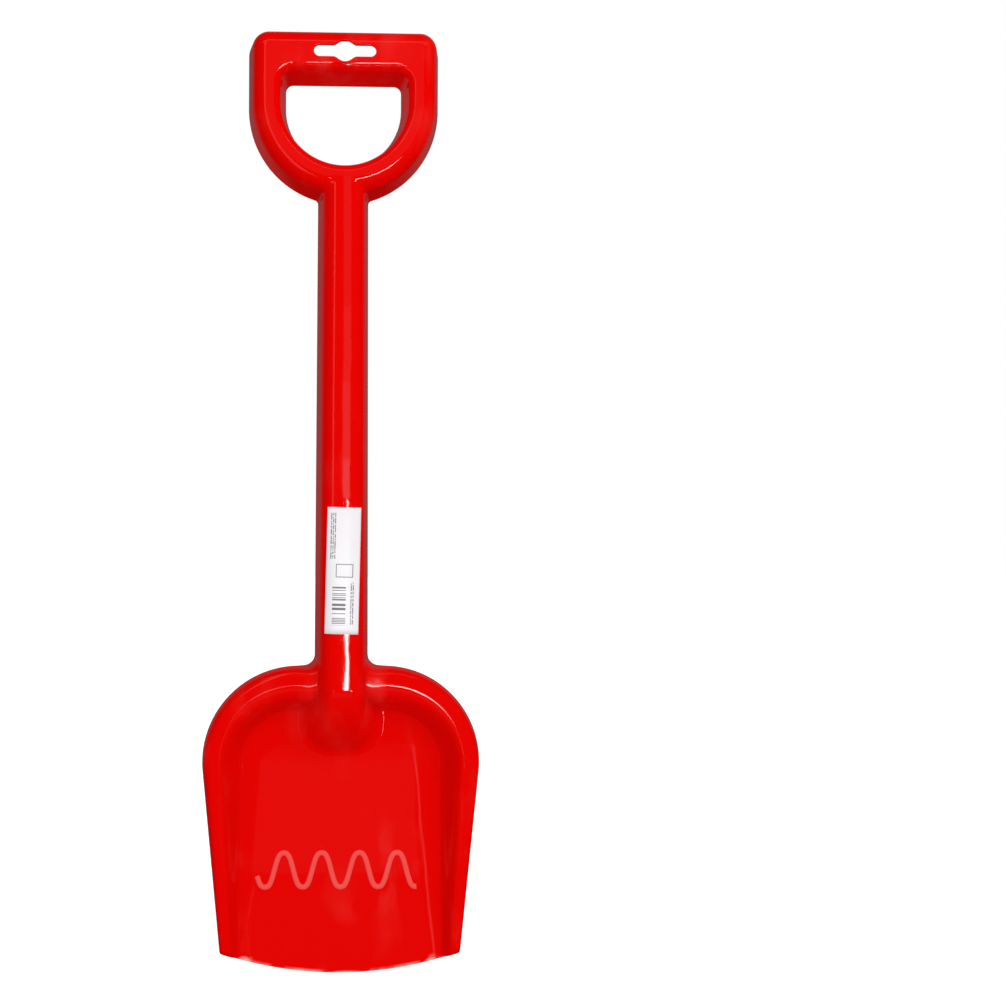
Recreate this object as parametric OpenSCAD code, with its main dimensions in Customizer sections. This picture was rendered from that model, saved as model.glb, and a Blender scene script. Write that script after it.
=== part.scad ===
// Sand shovel with a D grip, moulded in one piece as a thin shell that is open at the back.
// It stands upright: the grip is on top, the front faces -Y and the back edges lie on Y = 0.
// The origin is the middle of the hang slot, on the plane of the back edges.
// The members are drawn lying on their back edges, with x across, y up the shaft and z the height.

/* [Shell] */
// Depth of grip and shaft, from the back edges to the crown
depth = 21; // [17:0.5:26]
// Wall thickness
wall = 2; // [1.6:0.1:2.4]
// Draft of the side walls, in degrees
draft = 10; // [7:0.5:12]
// Radius of the outer shoulders of grip and shaft
shoulder_r = 6.8; // [5:0.1:7.6]
// Radius of the shoulder round the hand hole
hole_shoulder_r = 3.5; // [2.8:0.1:4.5]

/* [Grip] */
// Width of the hand hole at the back
hole_w = 61.4; // [54:0.2:74]
// Straight height of the hand hole above the bow
hole_straight = 12.9; // [8:0.1:24]
// Radius of the upper corners of the hand hole
hole_corner_r = 4; // [3:0.5:8]
// Width of the bow at the back
bow_w = 19.8; // [18.5:0.1:26]
// Width of the bar at the back
bar_w = 26.1; // [23:0.1:34]
// Radius of the grip's outer corners
grip_corner_r = 11; // [10.5:0.5:18]
// Middle of the hang slot below the top of the bar
slot_drop = 13.4; // [12:0.1:15]

/* [Hang slot] */
// Length of the slot
slot_w = 32.5; // [28:0.5:40]
// Height of the slot's arms
slot_h = 6; // [5:0.1:8]
// Diameter of the round eye in its middle
slot_eye_d = 11; // [9:0.1:12.4]

/* [Shaft] */
// Length of the shaft between the bow and the blade
shaft_len = 245.4; // [180:0.1:320]
// Width of the shaft at the bow
shaft_top_w = 26.8; // [24:0.2:34]
// Width of the shaft at the blade
shaft_foot_w = 28.4; // [25:0.2:36]
// Number of cross webs in the shaft
shaft_webs_n = 5; // [2:1:9]
// Thickness of a cross web
web_t = 1.6; // [1.2:0.1:2.4]
// Height of a web's free edge above the back edges
web_recess = 4; // [2:0.5:8]

/* [Blade] */
// Length of the blade from its top edge to the tip
blade_len = 164.2; // [140:0.1:200]
// Greatest width of the blade
blade_w = 147; // [130:0.5:170]
// Width of the blade at the ends of its sides
tip_w = 128; // [110:0.5:140]
// Radius of the upper corners
blade_corner_r = 51; // [44:0.5:60]
// Reach of the curved lip below the ends of the sides
lip_reach = 10.6; // [6:0.1:18]
// Radius of the corner between shaft and blade
root_r = 5.4; // [3:0.1:8]

/* [Rim] */
// Height of the rim above the pan at the top and the corners
rim_h = 12.3; // [9:0.1:14]
// Height of the rim above the pan at the tip
rim_tip_h = 4.5; // [3:0.1:6]
// Height of the rim's outer skirt at the top and the corners
skirt_h = 8.5; // [7:0.1:10]
// Height of the rim's outer skirt at the tip
skirt_tip_h = 4.6; // [3.4:0.1:5]
// Radius of the rim's outer shoulder at the top and the corners
rim_r = 6.5; // [5:0.1:6.8]
// Radius of the rim's outer shoulder at the tip
rim_tip_r = 2.2; // [1.6:0.1:2.8]
// Width of the rim's flat crown at the top and the corners
rim_flat = 4; // [2:0.1:6]
// Width of the rim's flat crown at the tip
rim_tip_flat = 1; // [0.5:0.1:2]
// Width of the slope from the rim into the pan at the top
heel_slope = 23; // [14:0.5:26]
// Width of the slope from the rim into the pan at the sides
side_slope = 11; // [6:0.1:13]
// Width of the slope from the rim into the pan at the tip
tip_slope = 5; // [2.4:0.1:7]

/* [Nose] */
// Start of the nose's slope below the top of the blade
nose_start = 11.6; // [6:0.1:20]
// End of the nose below the top of the blade
nose_end = 46; // [36:0.1:60]
// Flare of the nose's flanks over the pan, on each side
nose_flare = 7.4; // [3:0.1:9]

/* [Wave bead] */
// Middle of the wave above the tip
wave_rise = 54.9; // [46:0.1:66]
// Height of the wave from trough to crest, along the middle of the bead
wave_h = 18.2; // [10:0.1:24]
// Length of one wave
wave_pitch = 20.1; // [16:0.1:30]
// Span of the bead across the pan
wave_span = 88; // [60:1:94]
// Width of the bead
bead_w = 2.9; // [2:0.1:4]
// Height of the bead above the pan
bead_h = 0.6; // [0.4:0.1:1]

/* [Label] */
// Width of the label across the crown
label_w = 17.4; // [12:0.1:19]
// Length of the label along the shaft
label_len = 66; // [40:1:90]
// Middle of the label above the top of the blade
label_rise = 51; // [48:1:80]
// Tilt of the label on the shaft, in degrees
label_tilt = 1.2; // [0:0.1:2]
// Thickness of the label
label_t = 0.2; // [0.15:0.05:0.4]

/* [Hidden] */
$fn = 64;
red = "#e00800";
pale_red = "#ef3a2e";
paper = "#f4f3ef";

// Length by which a cut runs past what it cuts
overrun = 1;
// Height of the pan's underside above the back edges
pan_lift = 0.2;
// Part of a rim's shoulder radius that its wall may take up
shoulder_wall_share = 0.6;

// Places along the shaft, from the middle of the hang slot
grip_top = slot_drop;
hole_top = grip_top - bar_w;
bow_mid = hole_top - hole_straight;
hole_r = hole_w / 2;
bow_r = hole_r + bow_w;
bow_foot = bow_mid - bow_r;
blade_top = bow_foot - shaft_len;
blade_tip = blade_top - blade_len;
side_end = blade_tip + lip_reach;

// Where the members meet: the bar ends just under the upper corners of the hand hole,
// and the shaft starts and ends clear of the corners at the bow and the blade
bar_foot = hole_top - hole_corner_r - wall;
shaft_head = bow_foot - root_r;
shaft_foot = blade_top + root_r + wall;
shaft_taper = atan((shaft_foot_w - shaft_top_w) / 2 / shaft_len);

// Distance from the back edge to the crown's edge, for a shoulder of radius r on a wall of height h
function shoulder_reach(r, h) = r * cos(draft) + tan(draft) * (h - r * (1 - sin(draft)));

function mix(a, b, f) = a + (b - a) * f;
function ease(f) = f * f * (3 - 2 * f);
function half_shaft(y) = mix(shaft_top_w, shaft_foot_w, (bow_foot - y) / shaft_len) / 2;

// Arc of a shoulder from the drafted wall up to the crown, to the side that way points to
shoulder_flats = 9;
function shoulder_arc(mid, r, way) = [
    for (i = [0 : shoulder_flats])
        let (a = mix(draft, 90, i / shoulder_flats)) mid + r * [way * cos(a), sin(a)]
];

// Half profile of the grip, from x0 out to its back edge: drafted wall, shoulder in flats, flat crown.
// inset is the depth under the outer skin: 0 for the skin itself, wall for the hollow behind it.
module grip_profile(edge, x0, inset) {
    mid = [edge - shoulder_reach(shoulder_r, depth), depth - shoulder_r];
    r = shoulder_r - inset;
    base = inset > 0 ? -overrun : 0;
    arc = shoulder_arc(mid, r, 1);
    foot = arc[0].x + (arc[0].y - base) * tan(draft);
    polygon(concat([[x0, base], [foot, base]], arc, [[x0, mid.y + r]]));
}

// The same half profile with a true arc, for the shaft
module shaft_profile(edge, x0, inset) {
    mid = [edge - shoulder_reach(shoulder_r, depth), depth - shoulder_r];
    r = shoulder_r - inset;
    base = inset > 0 ? -overrun : 0;
    bend = mid + r * [cos(draft), sin(draft)];
    foot = bend.x + (bend.y - base) * tan(draft);
    polygon([[x0, base], [foot, base], bend, [mid.x, mid.y + r], [x0, mid.y + r]]);
    translate(mid) intersection() {
        circle(r);
        square(r);
    }
}

// Half profile of the space inside a hole, from its middle out to the wall round it.
module hole_profile(edge, inset) {
    mid = [edge + shoulder_reach(hole_shoulder_r, depth), depth - hole_shoulder_r];
    base = -2 * overrun;
    arc = shoulder_arc(mid, hole_shoulder_r - inset, -1);
    foot = arc[0].x - (arc[0].y - base) * tan(draft);
    polygon(concat([[0, base], [foot, base]], arc, [[mid.x, depth + overrun], [0, depth + overrun]]));
}

// Draws children along the shaft from y0 up to y1
module along(y0, y1) {
    translate([0, y1, 0]) rotate([90, 0, 0]) linear_extrude(y1 - y0) children();
}

// Draws children across the shaft over the width w
module across(w) {
    translate([-w / 2, 0, 0]) rotate([90, 0, 90]) linear_extrude(w) children();
}

module both_sides() {
    for (side = [0, 1]) mirror([side, 0, 0]) children();
}

// Solid form of the D without its hole
module grip_block(inset) {
    corner_x = bow_r - grip_corner_r;
    corner_y = grip_top - grip_corner_r;
    translate([0, bow_mid, 0]) rotate(180) rotate_extrude(angle = 180) grip_profile(bow_r, 0, inset);
    both_sides() {
        along(bow_mid, corner_y) grip_profile(bow_r, 0, inset);
        translate([corner_x, corner_y, 0])
            rotate_extrude(angle = 90) grip_profile(grip_corner_r, 0, inset);
    }
    translate([0, corner_y, 0]) across(2 * corner_x) grip_profile(grip_corner_r, 0, inset);
}

// Space of the hand hole
module hand_hole(inset) {
    corner_x = hole_r - hole_corner_r;
    corner_y = hole_top - hole_corner_r;
    translate([0, bow_mid, 0]) rotate(180) rotate_extrude(angle = 180) hole_profile(hole_r, inset);
    both_sides() {
        along(bow_mid, corner_y) hole_profile(hole_r, inset);
        translate([corner_x, corner_y, 0])
            rotate_extrude(angle = 90) hole_profile(hole_corner_r, inset);
    }
    translate([0, corner_y, 0]) across(2 * corner_x) hole_profile(hole_corner_r, inset);
}

module grip_form(inset) {
    difference() {
        grip_block(inset);
        hand_hole(inset);
    }
}

// Solid form of the tapered shaft between two places, as two halves that lean apart
module shaft_form(y0, y1, inset) {
    both_sides() translate([0, bow_foot, 0]) rotate(shaft_taper) translate([0, -bow_foot, 0])
        along(y0, y1) shaft_profile(shaft_top_w / 2, -shaft_top_w / 4, inset);
}

// Keeps the part of its children between two places along the shaft
module zone(y0, y1) {
    intersection() {
        children();
        translate([-blade_w, y0, -depth]) cube([2 * blade_w, y1 - y0, 3 * depth]);
    }
}

module stand_up() {
    rotate([90, 0, 0]) children();
}

// Grip: the bar with its hang slot, and the bow that runs out into the shaft

module hang_slot() {
    arm = (slot_w - slot_h) / 2;
    translate([0, 0, depth / 2]) linear_extrude(depth) {
        square([2 * arm, slot_h], center = true);
        both_sides() translate([arm, 0]) circle(d = slot_h);
        circle(d = slot_eye_d);
    }
}

module grip_bar() {
    color(red) stand_up() difference() {
        zone(bar_foot, grip_top + overrun) difference() {
            grip_form(0);
            grip_form(wall);
        }
        hang_slot();
    }
}

// Middle of the bow's crown, where the shaft's form ends inside it
bow_crown_out = bow_r - shoulder_reach(shoulder_r, depth);
bow_crown_in = hole_r + shoulder_reach(hole_shoulder_r, depth);
bow_crown_r = (bow_crown_in + bow_crown_out) / 2;

module bow_form(inset) {
    grip_form(inset);
    shaft_form(shaft_head - overrun, bow_mid - bow_crown_r, inset);
}

module grip_bow() {
    color(red) stand_up() zone(shaft_head, bar_foot) difference() {
        bow_form(0);
        bow_form(wall);
    }
}

// Webs across the hollow of the bow, at equal angles on both sides
bow_web_angles = [-50, -5];

module grip_webs() {
    color(red) stand_up() intersection() {
        grip_form(wall);
        both_sides() for (a = bow_web_angles)
            translate([0, bow_mid, 0]) rotate(a)
                translate([hole_r, -web_t / 2, web_recess]) cube([bow_w, web_t, depth]);
    }
}

// Shaft: a tapered channel with cross webs

module shaft() {
    color(red) stand_up() zone(shaft_foot, shaft_head) difference() {
        shaft_form(shaft_foot - overrun, shaft_head + overrun, 0);
        shaft_form(shaft_foot - 2 * overrun, shaft_head + 2 * overrun, wall);
    }
}

module shaft_webs() {
    pitch = (shaft_head - shaft_foot) / (shaft_webs_n + 1);
    color(red) stand_up() intersection() {
        shaft_form(shaft_foot, shaft_head, wall);
        for (i = [1 : shaft_webs_n])
            translate([-shaft_foot_w, shaft_foot + i * pitch - web_t / 2, web_recess])
                cube([2 * shaft_foot_w, web_t, depth]);
    }
}

// Blade: a pan with a rolled rim, drawn as rows that run from the outline to the middle line

// Counts of rows along the top, corner and side, and of steps over shoulder, slope and pan
top_rows = 5;
corner_rows = 14;
side_rows = 14;
shoulder_steps = 5;
slope_steps = 7;
pan_steps = 3;

pan_h = wall + pan_lift;
corner_mid = [blade_w / 2 - blade_corner_r, blade_top - blade_corner_r];
side_lean = atan((blade_w - tip_w) / 2 / (corner_mid.y - side_end));
side_head = corner_mid + blade_corner_r * [cos(side_lean), -sin(side_lean)];
fan_head = blade_top - nose_end;
fan_foot = side_head.y - lip_reach;

rows = concat(
    [for (i = [0 : top_rows - 1]) let (f = i / top_rows)
        [[corner_mid.x * f, blade_top], [0, -1], 0, 0]],
    [for (i = [0 : corner_rows - 1]) let (f = i / corner_rows, a = mix(90, -side_lean, f))
        [corner_mid + blade_corner_r * [cos(a), sin(a)], -[cos(a), sin(a)], f, 0]],
    [for (i = [0 : side_rows]) let (g = i / side_rows)
        [[mix(side_head.x, tip_w / 2, g), mix(side_head.y, side_end, g)], [-1, 0], 1, g]]
);
last_row = len(rows) - 1;
round_rows = top_rows + corner_rows;

// Power that moves the steepest part of the top's slope towards the rim
heel_bend_share = 0.8;

// Height of the rim's front at the distance s in from the outline, for one row's section
function rim_front(s, edge_h, crown_h, r, flat, slope, bend, floor_h) =
    let (reach = shoulder_reach(r, crown_h - edge_h), f = (s - reach - flat) / slope)
    s < reach - r * cos(draft) ? edge_h + s / tan(draft)
    : s < reach ? crown_h - r + sqrt(max(0, r * r - (reach - s) * (reach - s)))
    : f < 0 ? crown_h
    : mix(crown_h, floor_h, ease(pow(min(f, 1), bend)));

// Distances in from the outline at which a row has its points, up to the foot of the slope
function rim_stops(edge_h, crown_h, r, flat, slope) =
    let (reach = shoulder_reach(r, crown_h - edge_h))
    concat(
        [0],
        [for (i = [0 : shoulder_steps]) reach - r * cos(mix(draft, 90, i / shoulder_steps))],
        [for (i = [0 : slope_steps]) reach + flat + slope * i / slope_steps]
    );

// Middle-line point at which a row ends
function row_mid(i) =
    i < round_rows ? [0, mix(fan_head, fan_foot, i / round_rows)]
    : [0, mix(fan_foot, blade_tip, (i - round_rows) / side_rows)];

// Plan point of a row at the distance s in from the outline,
// moved on by the share f of the way that is left to the middle line
function row_plan(i, s, f) =
    let (row = rows[i], p = row[0], mid = row_mid(i))
    i < round_rows
        ? mix(p + row[1] * s, mid, f)
        : let (x = mix(p.x - s, 0, f)) [x, mix(mid.y, p.y, x * x / (p.x * p.x))];

// Points of one row, front skin or hollow side
function row_points(i, hollow) =
    let (
        corner = rows[i][2], g = rows[i][3],
        crown_h = pan_h + mix(rim_h, rim_tip_h, g),
        edge_h = crown_h - mix(skirt_h, skirt_tip_h, g),
        r = mix(rim_r, rim_tip_r, g),
        flat = mix(rim_flat, rim_tip_flat, g),
        slope = g > 0 ? mix(side_slope, tip_slope, g) : mix(heel_slope, side_slope, ease(corner)),
        bend = mix(heel_bend_share, 1, ease(corner)),
        t = min(wall, r * shoulder_wall_share),
        reach = shoulder_reach(r, crown_h - edge_h),
        slope_foot = reach + flat + slope,
        start = hollow ? t / cos(draft) : 0,
        inner_reach = shoulder_reach(r - t, crown_h - t - edge_h),
        inner_flat = reach + flat - t / 2 - start - inner_reach,
        stops = hollow ? rim_stops(edge_h, crown_h - t, r - t, inner_flat, slope)
            : rim_stops(edge_h, crown_h, r, flat, slope),
        ends = hollow ? start + stops[len(stops) - 1] : slope_foot
    )
    concat(
        [for (s = stops)
            let (h = hollow ? rim_front(s, edge_h, crown_h - t, r - t, inner_flat, slope, bend, pan_h - t)
                : rim_front(s, edge_h, crown_h, r, flat, slope, bend, pan_h))
            concat(row_plan(i, start + s, 0), [h])],
        [for (k = [1 : pan_steps])
            concat(row_plan(i, ends, k / pan_steps), [hollow ? pan_h - t : pan_h])]
    );

// Rows from the left end of the lip round the top to the right end
module pan_shell() {
    cols = shoulder_steps + slope_steps + pan_steps + 3;
    half = [for (i = [0 : last_row]) [row_points(i, false), row_points(i, true)]];
    full_rows = 2 * last_row + 1;
    end = full_rows - 1;
    points = [
        for (layer = [0, 1]) for (j = [0 : end]) for (k = [0 : cols - 1])
            let (i = j - last_row, p = half[abs(i)][layer][k])
            i < 0 ? [-p.x, p.y, p.z] : p
    ];
    // A left row ends at the middle-line point of its mirror row
    function own_row(j, k) = k == cols - 1 && j < last_row ? end - j : j;
    function at(layer, j, k) = (layer * full_rows + own_row(j, k)) * cols + k;
    function quad(a, b, c, d) = [[a, c, b], [a, d, c]];
    skins = [
        for (j = [0 : end - 1]) for (k = [0 : cols - 2])
            each concat(
                quad(at(0, j, k), at(0, j, k + 1), at(0, j + 1, k + 1), at(0, j + 1, k)),
                quad(at(1, j, k), at(1, j + 1, k), at(1, j + 1, k + 1), at(1, j, k + 1))
            )
    ];
    edge = [
        for (j = [0 : end - 1])
            each quad(at(0, j, 0), at(0, j + 1, 0), at(1, j + 1, 0), at(1, j, 0))
    ];
    lip = [
        for (k = [0 : cols - 2]) each concat(
            quad(at(0, 0, k + 1), at(0, 0, k), at(1, 0, k), at(1, 0, k + 1)),
            quad(at(0, end, k), at(0, end, k + 1), at(1, end, k + 1), at(1, end, k))
        )
    ];
    polyhedron(points, concat(skins, edge, lip));
}

// Section of the shaft where its crown has come down to the height h, as points from right to left,
// with flanks that run from the shoulders to the half width foot_w at the back
function nose_section(half_w, foot_w, h, inset) =
    let (
        outer_r = min(shoulder_r, h * shoulder_wall_share),
        r = outer_r - inset,
        mid = [half_w - shoulder_reach(outer_r, h), h - outer_r],
        way = [foot_w, 0] - mid,
        lean = atan2(way.y, way.x) + acos(outer_r / norm(way)),
        base = inset > 0 ? -overrun : 0,
        bend = mid + r * [cos(lean), sin(lean)],
        right = concat(
            [[bend.x + (bend.y - base) * tan(lean), base]],
            [for (i = [0 : shoulder_steps])
                let (a = mix(lean, 90, i / shoulder_steps)) mid + r * [cos(a), sin(a)]]
        ),
        last = len(right) - 1
    )
    concat(right, [for (i = [0 : last]) [-right[last - i].x, right[last - i].y]]);

nose_steps = 10;
// Share of the nose's slope over which its flanks flare out, over which its end is rounded in plan,
// and of its width lost there, and the power that makes its slope steeper towards the end
flare_share = 0.4;
nose_round_share = 0.4;
nose_narrow_share = 0.33;
nose_bend_share = 1.6;

// The shaft's form runs over the rim and down to the pan, as sections joined in pairs
module nose(inset) {
    head = shaft_foot + (inset > 0 ? overrun : 0);
    slope = nose_end - nose_start - inset;
    low = pan_h + inset;
    function place(i) = i == 0 ? head : blade_top - nose_start - slope * (i - 1) / nose_steps;
    function share(i) = max(0, i - 1) / nose_steps;
    function height(i) = mix(depth, low + wall / 2, pow(share(i), nose_bend_share));
    function narrow(i) =
        let (f = max(0, share(i) - 1 + nose_round_share) / nose_round_share) 1 - f * f * nose_narrow_share;
    function half(i) = half_shaft(place(i)) * narrow(i);
    function foot(i) =
        (half_shaft(place(i)) + nose_flare * ease(min(1, share(i) / flare_share))) * narrow(i);
    function section(i) =
        [for (p = nose_section(half(i), foot(i), height(i), inset)) [p.x, place(i), p.y]];
    for (i = [0 : nose_steps])
        hull() {
            points = concat(section(i), section(i + 1));
            last = len(points) / 2 - 1;
            polyhedron(points, [[for (k = [0 : last]) k], [for (k = [0 : last]) last + 1 + k]]);
        }
}

// Filled corner between the shaft and the blade's top edge
module root_corner() {
    both_sides() translate([half_shaft(blade_top), blade_top, 0]) difference() {
        translate([-wall, -wall, 0]) cube([root_r + wall, root_r + wall, pan_h + rim_h - rim_r]);
        translate([root_r, root_r, -overrun]) cylinder(r = root_r, h = depth);
    }
}

module blade() {
    color(red) stand_up() difference() {
        union() {
            pan_shell();
            nose(0);
            root_corner();
        }
        nose(wall);
    }
}

// Wave bead: a crowned line that runs across the pan

wave_steps = 72;
bead_steps = 4;

module wave_bead() {
    wave_y = blade_tip + wave_rise;
    turn = 360 / wave_pitch;
    function middle(x) = [x, wave_y - wave_h / 2 * cos(turn * x)];
    function side_way(x) =
        let (d = [1, wave_h / 2 * turn * PI / 180 * sin(turn * x)]) [-d.y, d.x] / norm(d);
    count = bead_steps + 1;
    points = [
        for (i = [0 : wave_steps])
            let (x = wave_span * (i / wave_steps - 1 / 2), m = middle(x), d = side_way(x))
            for (k = [0 : bead_steps])
                let (a = 180 * k / bead_steps, p = m + d * bead_w / 2 * cos(a))
                [p.x, p.y, pan_h + bead_h * sin(a)]
    ];
    sides = [
        for (i = [0 : wave_steps - 1]) for (k = [0 : bead_steps])
            let (a = i * count + k, b = i * count + (k + 1) % count)
            each [[a, a + count, b + count], [a, b + count, b]]
    ];
    ends = [
        [for (k = [0 : bead_steps]) k],
        [for (k = [bead_steps : -1 : 0]) wave_steps * count + k]
    ];
    color(pale_red) stand_up() polyhedron(points, concat(sides, ends));
}

// Label: paper wrapped over the crown of the shaft

module label() {
    label_y = blade_top + label_rise;
    y0 = label_y - label_len;
    y1 = label_y + label_len;
    color(paper) stand_up() intersection() {
        difference() {
            shaft_form(y0, y1, -label_t);
            shaft_form(y0 - overrun, y1 + overrun, 0);
        }
        translate([0, label_y, depth]) rotate(-label_tilt) cube([label_w, label_len, depth], center = true);
    }
}

grip_bar();
grip_bow();
grip_webs();
shaft();
shaft_webs();
blade();
wave_bead();
label();
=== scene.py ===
"""Dresses the packed sand shovel: one smooth moulded shell, its webs, its wave bead and its label."""

import logging
import math
from dataclasses import dataclass
from enum import Enum
from typing import Callable, ClassVar, Iterable, Sequence

import bpy
import numpy as np
from mathutils import Euler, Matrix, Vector
from mathutils.geometry import delaunay_2d_cdt


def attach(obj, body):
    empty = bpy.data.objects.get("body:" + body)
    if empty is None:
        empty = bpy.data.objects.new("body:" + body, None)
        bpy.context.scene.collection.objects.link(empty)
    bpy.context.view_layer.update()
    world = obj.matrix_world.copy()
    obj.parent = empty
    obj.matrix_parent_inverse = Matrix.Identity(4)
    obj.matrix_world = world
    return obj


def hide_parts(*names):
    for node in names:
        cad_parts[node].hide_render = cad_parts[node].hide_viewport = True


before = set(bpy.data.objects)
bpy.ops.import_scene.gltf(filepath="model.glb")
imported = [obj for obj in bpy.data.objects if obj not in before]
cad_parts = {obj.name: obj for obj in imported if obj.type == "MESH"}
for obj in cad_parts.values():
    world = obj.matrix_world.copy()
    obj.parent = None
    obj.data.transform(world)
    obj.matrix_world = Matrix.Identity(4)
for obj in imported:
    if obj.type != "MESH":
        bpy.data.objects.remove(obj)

LOG = logging.getLogger("sand_shovel")
MM = 0.001
FAR_OUTSIDE = -1000.0
WHITE = (1.0, 1.0, 1.0, 1.0)
Array = np.ndarray
Field = Callable[[Array, Array], Array]
Point = tuple[float, float]
Color = tuple[float, float, float]


class Skin(Enum):
    """The two skins of the moulded shell."""

    FRONT = "front"
    BACK = "back"


class Slot(Enum):
    """Material slots of the record."""

    SHELL = "shell"
    BEAD = "bead"
    LABEL = "label"


def ease(f: Array) -> Array:
    """Smooth step from 0 to 1 for shares from 0 to 1."""
    return f * f * (3.0 - 2.0 * f)


def blend(a: float | Array, b: float | Array, f: float | Array) -> float | Array:
    """Value at the share f of the way from a to b."""
    return a + (b - a) * f


def soft_max(a: Array, b: Array, k: float) -> Array:
    """Greater of two values, with a round of size k where they meet."""
    h = np.clip(k - np.abs(a - b), 0.0, None) / k
    return np.maximum(a, b) + h * h * k * 0.25


def edge_round(d: Array, r: float) -> Array:
    """Drop of a quarter-round edge of radius r at the distance d from it."""
    x = np.clip(r - d, 0.0, r)
    return r - np.sqrt(np.clip(r * r - x * x, 0.0, None))


def slopes(f: Field, u: Array, v: Array, h: float = 0.02) -> tuple[Array, Array]:
    """Slopes of a field across and along the shaft, over steps of h."""
    return (f(u + h, v) - f(u - h, v)) / (2 * h), (f(u, v + h) - f(u, v - h)) / (2 * h)


def front_normals(gu: Array, gv: Array) -> Array:
    """Unit normals, to the front, of a skin with these slopes."""
    return np.stack([-gu, -np.ones_like(gu), -gv], axis=1) / np.sqrt(1 + gu * gu + gv * gv)[:, None]


def mirrored(half: Array) -> Array:
    """Closed outline from its right half, whose first and last points lie on the middle line."""
    return np.concatenate([half, (half * (-1.0, 1.0))[-2:0:-1]])


def apart(loop: Array, gap: float = 1e-4) -> Array:
    """Tells which points of a loop lie further than gap from the one before."""
    return np.r_[True, np.linalg.norm(np.diff(loop, axis=0), axis=1) > gap]


def spaced(a: Sequence[float], b: Sequence[float], step: float) -> Array:
    """Points on a straight line from a up to, but not with, b.

    Args:
        a: First point.
        b: Last point.
        step: Greatest distance between points.

    Returns:
        Array of points.
    """
    a, b = np.array(a, float), np.array(b, float)
    n = max(1, math.ceil(np.linalg.norm(b - a) / step))
    return a + (b - a) * (np.arange(n) / n)[:, None]


def arc(mid: Sequence[float], r: float, a0: float, a1: float, step: float) -> Array:
    """Points on an arc from the angle a0 up to, but not with, a1.

    Args:
        mid: Middle of the arc.
        r: Its radius.
        a0: First angle in radians.
        a1: Last angle in radians.
        step: Greatest distance between points.

    Returns:
        Array of points.
    """
    n = max(3, math.ceil(abs(a1 - a0) * r / step))
    a = a0 + (a1 - a0) * np.arange(n) / n
    return np.stack([mid[0] + r * np.cos(a), mid[1] + r * np.sin(a)], axis=1)


def graded(a: Sequence[float], b: Sequence[float], fine: float, coarse: float, growth: float = 1.35) -> Array:
    """Points on a line from a up to b that lie closer at both ends.

    Args:
        a: First point.
        b: Last point, which is left out.
        fine: Distance between points at the ends.
        coarse: Greatest distance between points in the middle.
        growth: Ratio of each distance to the one before it.

    Returns:
        Array of points.
    """
    a, b = np.array(a, float), np.array(b, float)
    length = float(np.linalg.norm(b - a))
    at, step, steps = 0.0, fine, [0.0]
    while at + step < length / 2:
        at += step
        steps.append(at)
        step = min(step * growth, coarse)
    left = np.array(steps)
    gap = length - 2 * left[-1]
    n = max(1, math.ceil(gap / coarse))
    inner = left[-1] + gap * np.arange(1, n) / n
    t = np.concatenate([left, inner, (length - left)[::-1][:-1]])
    return a + (b - a) * (t / length)[:, None]


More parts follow.
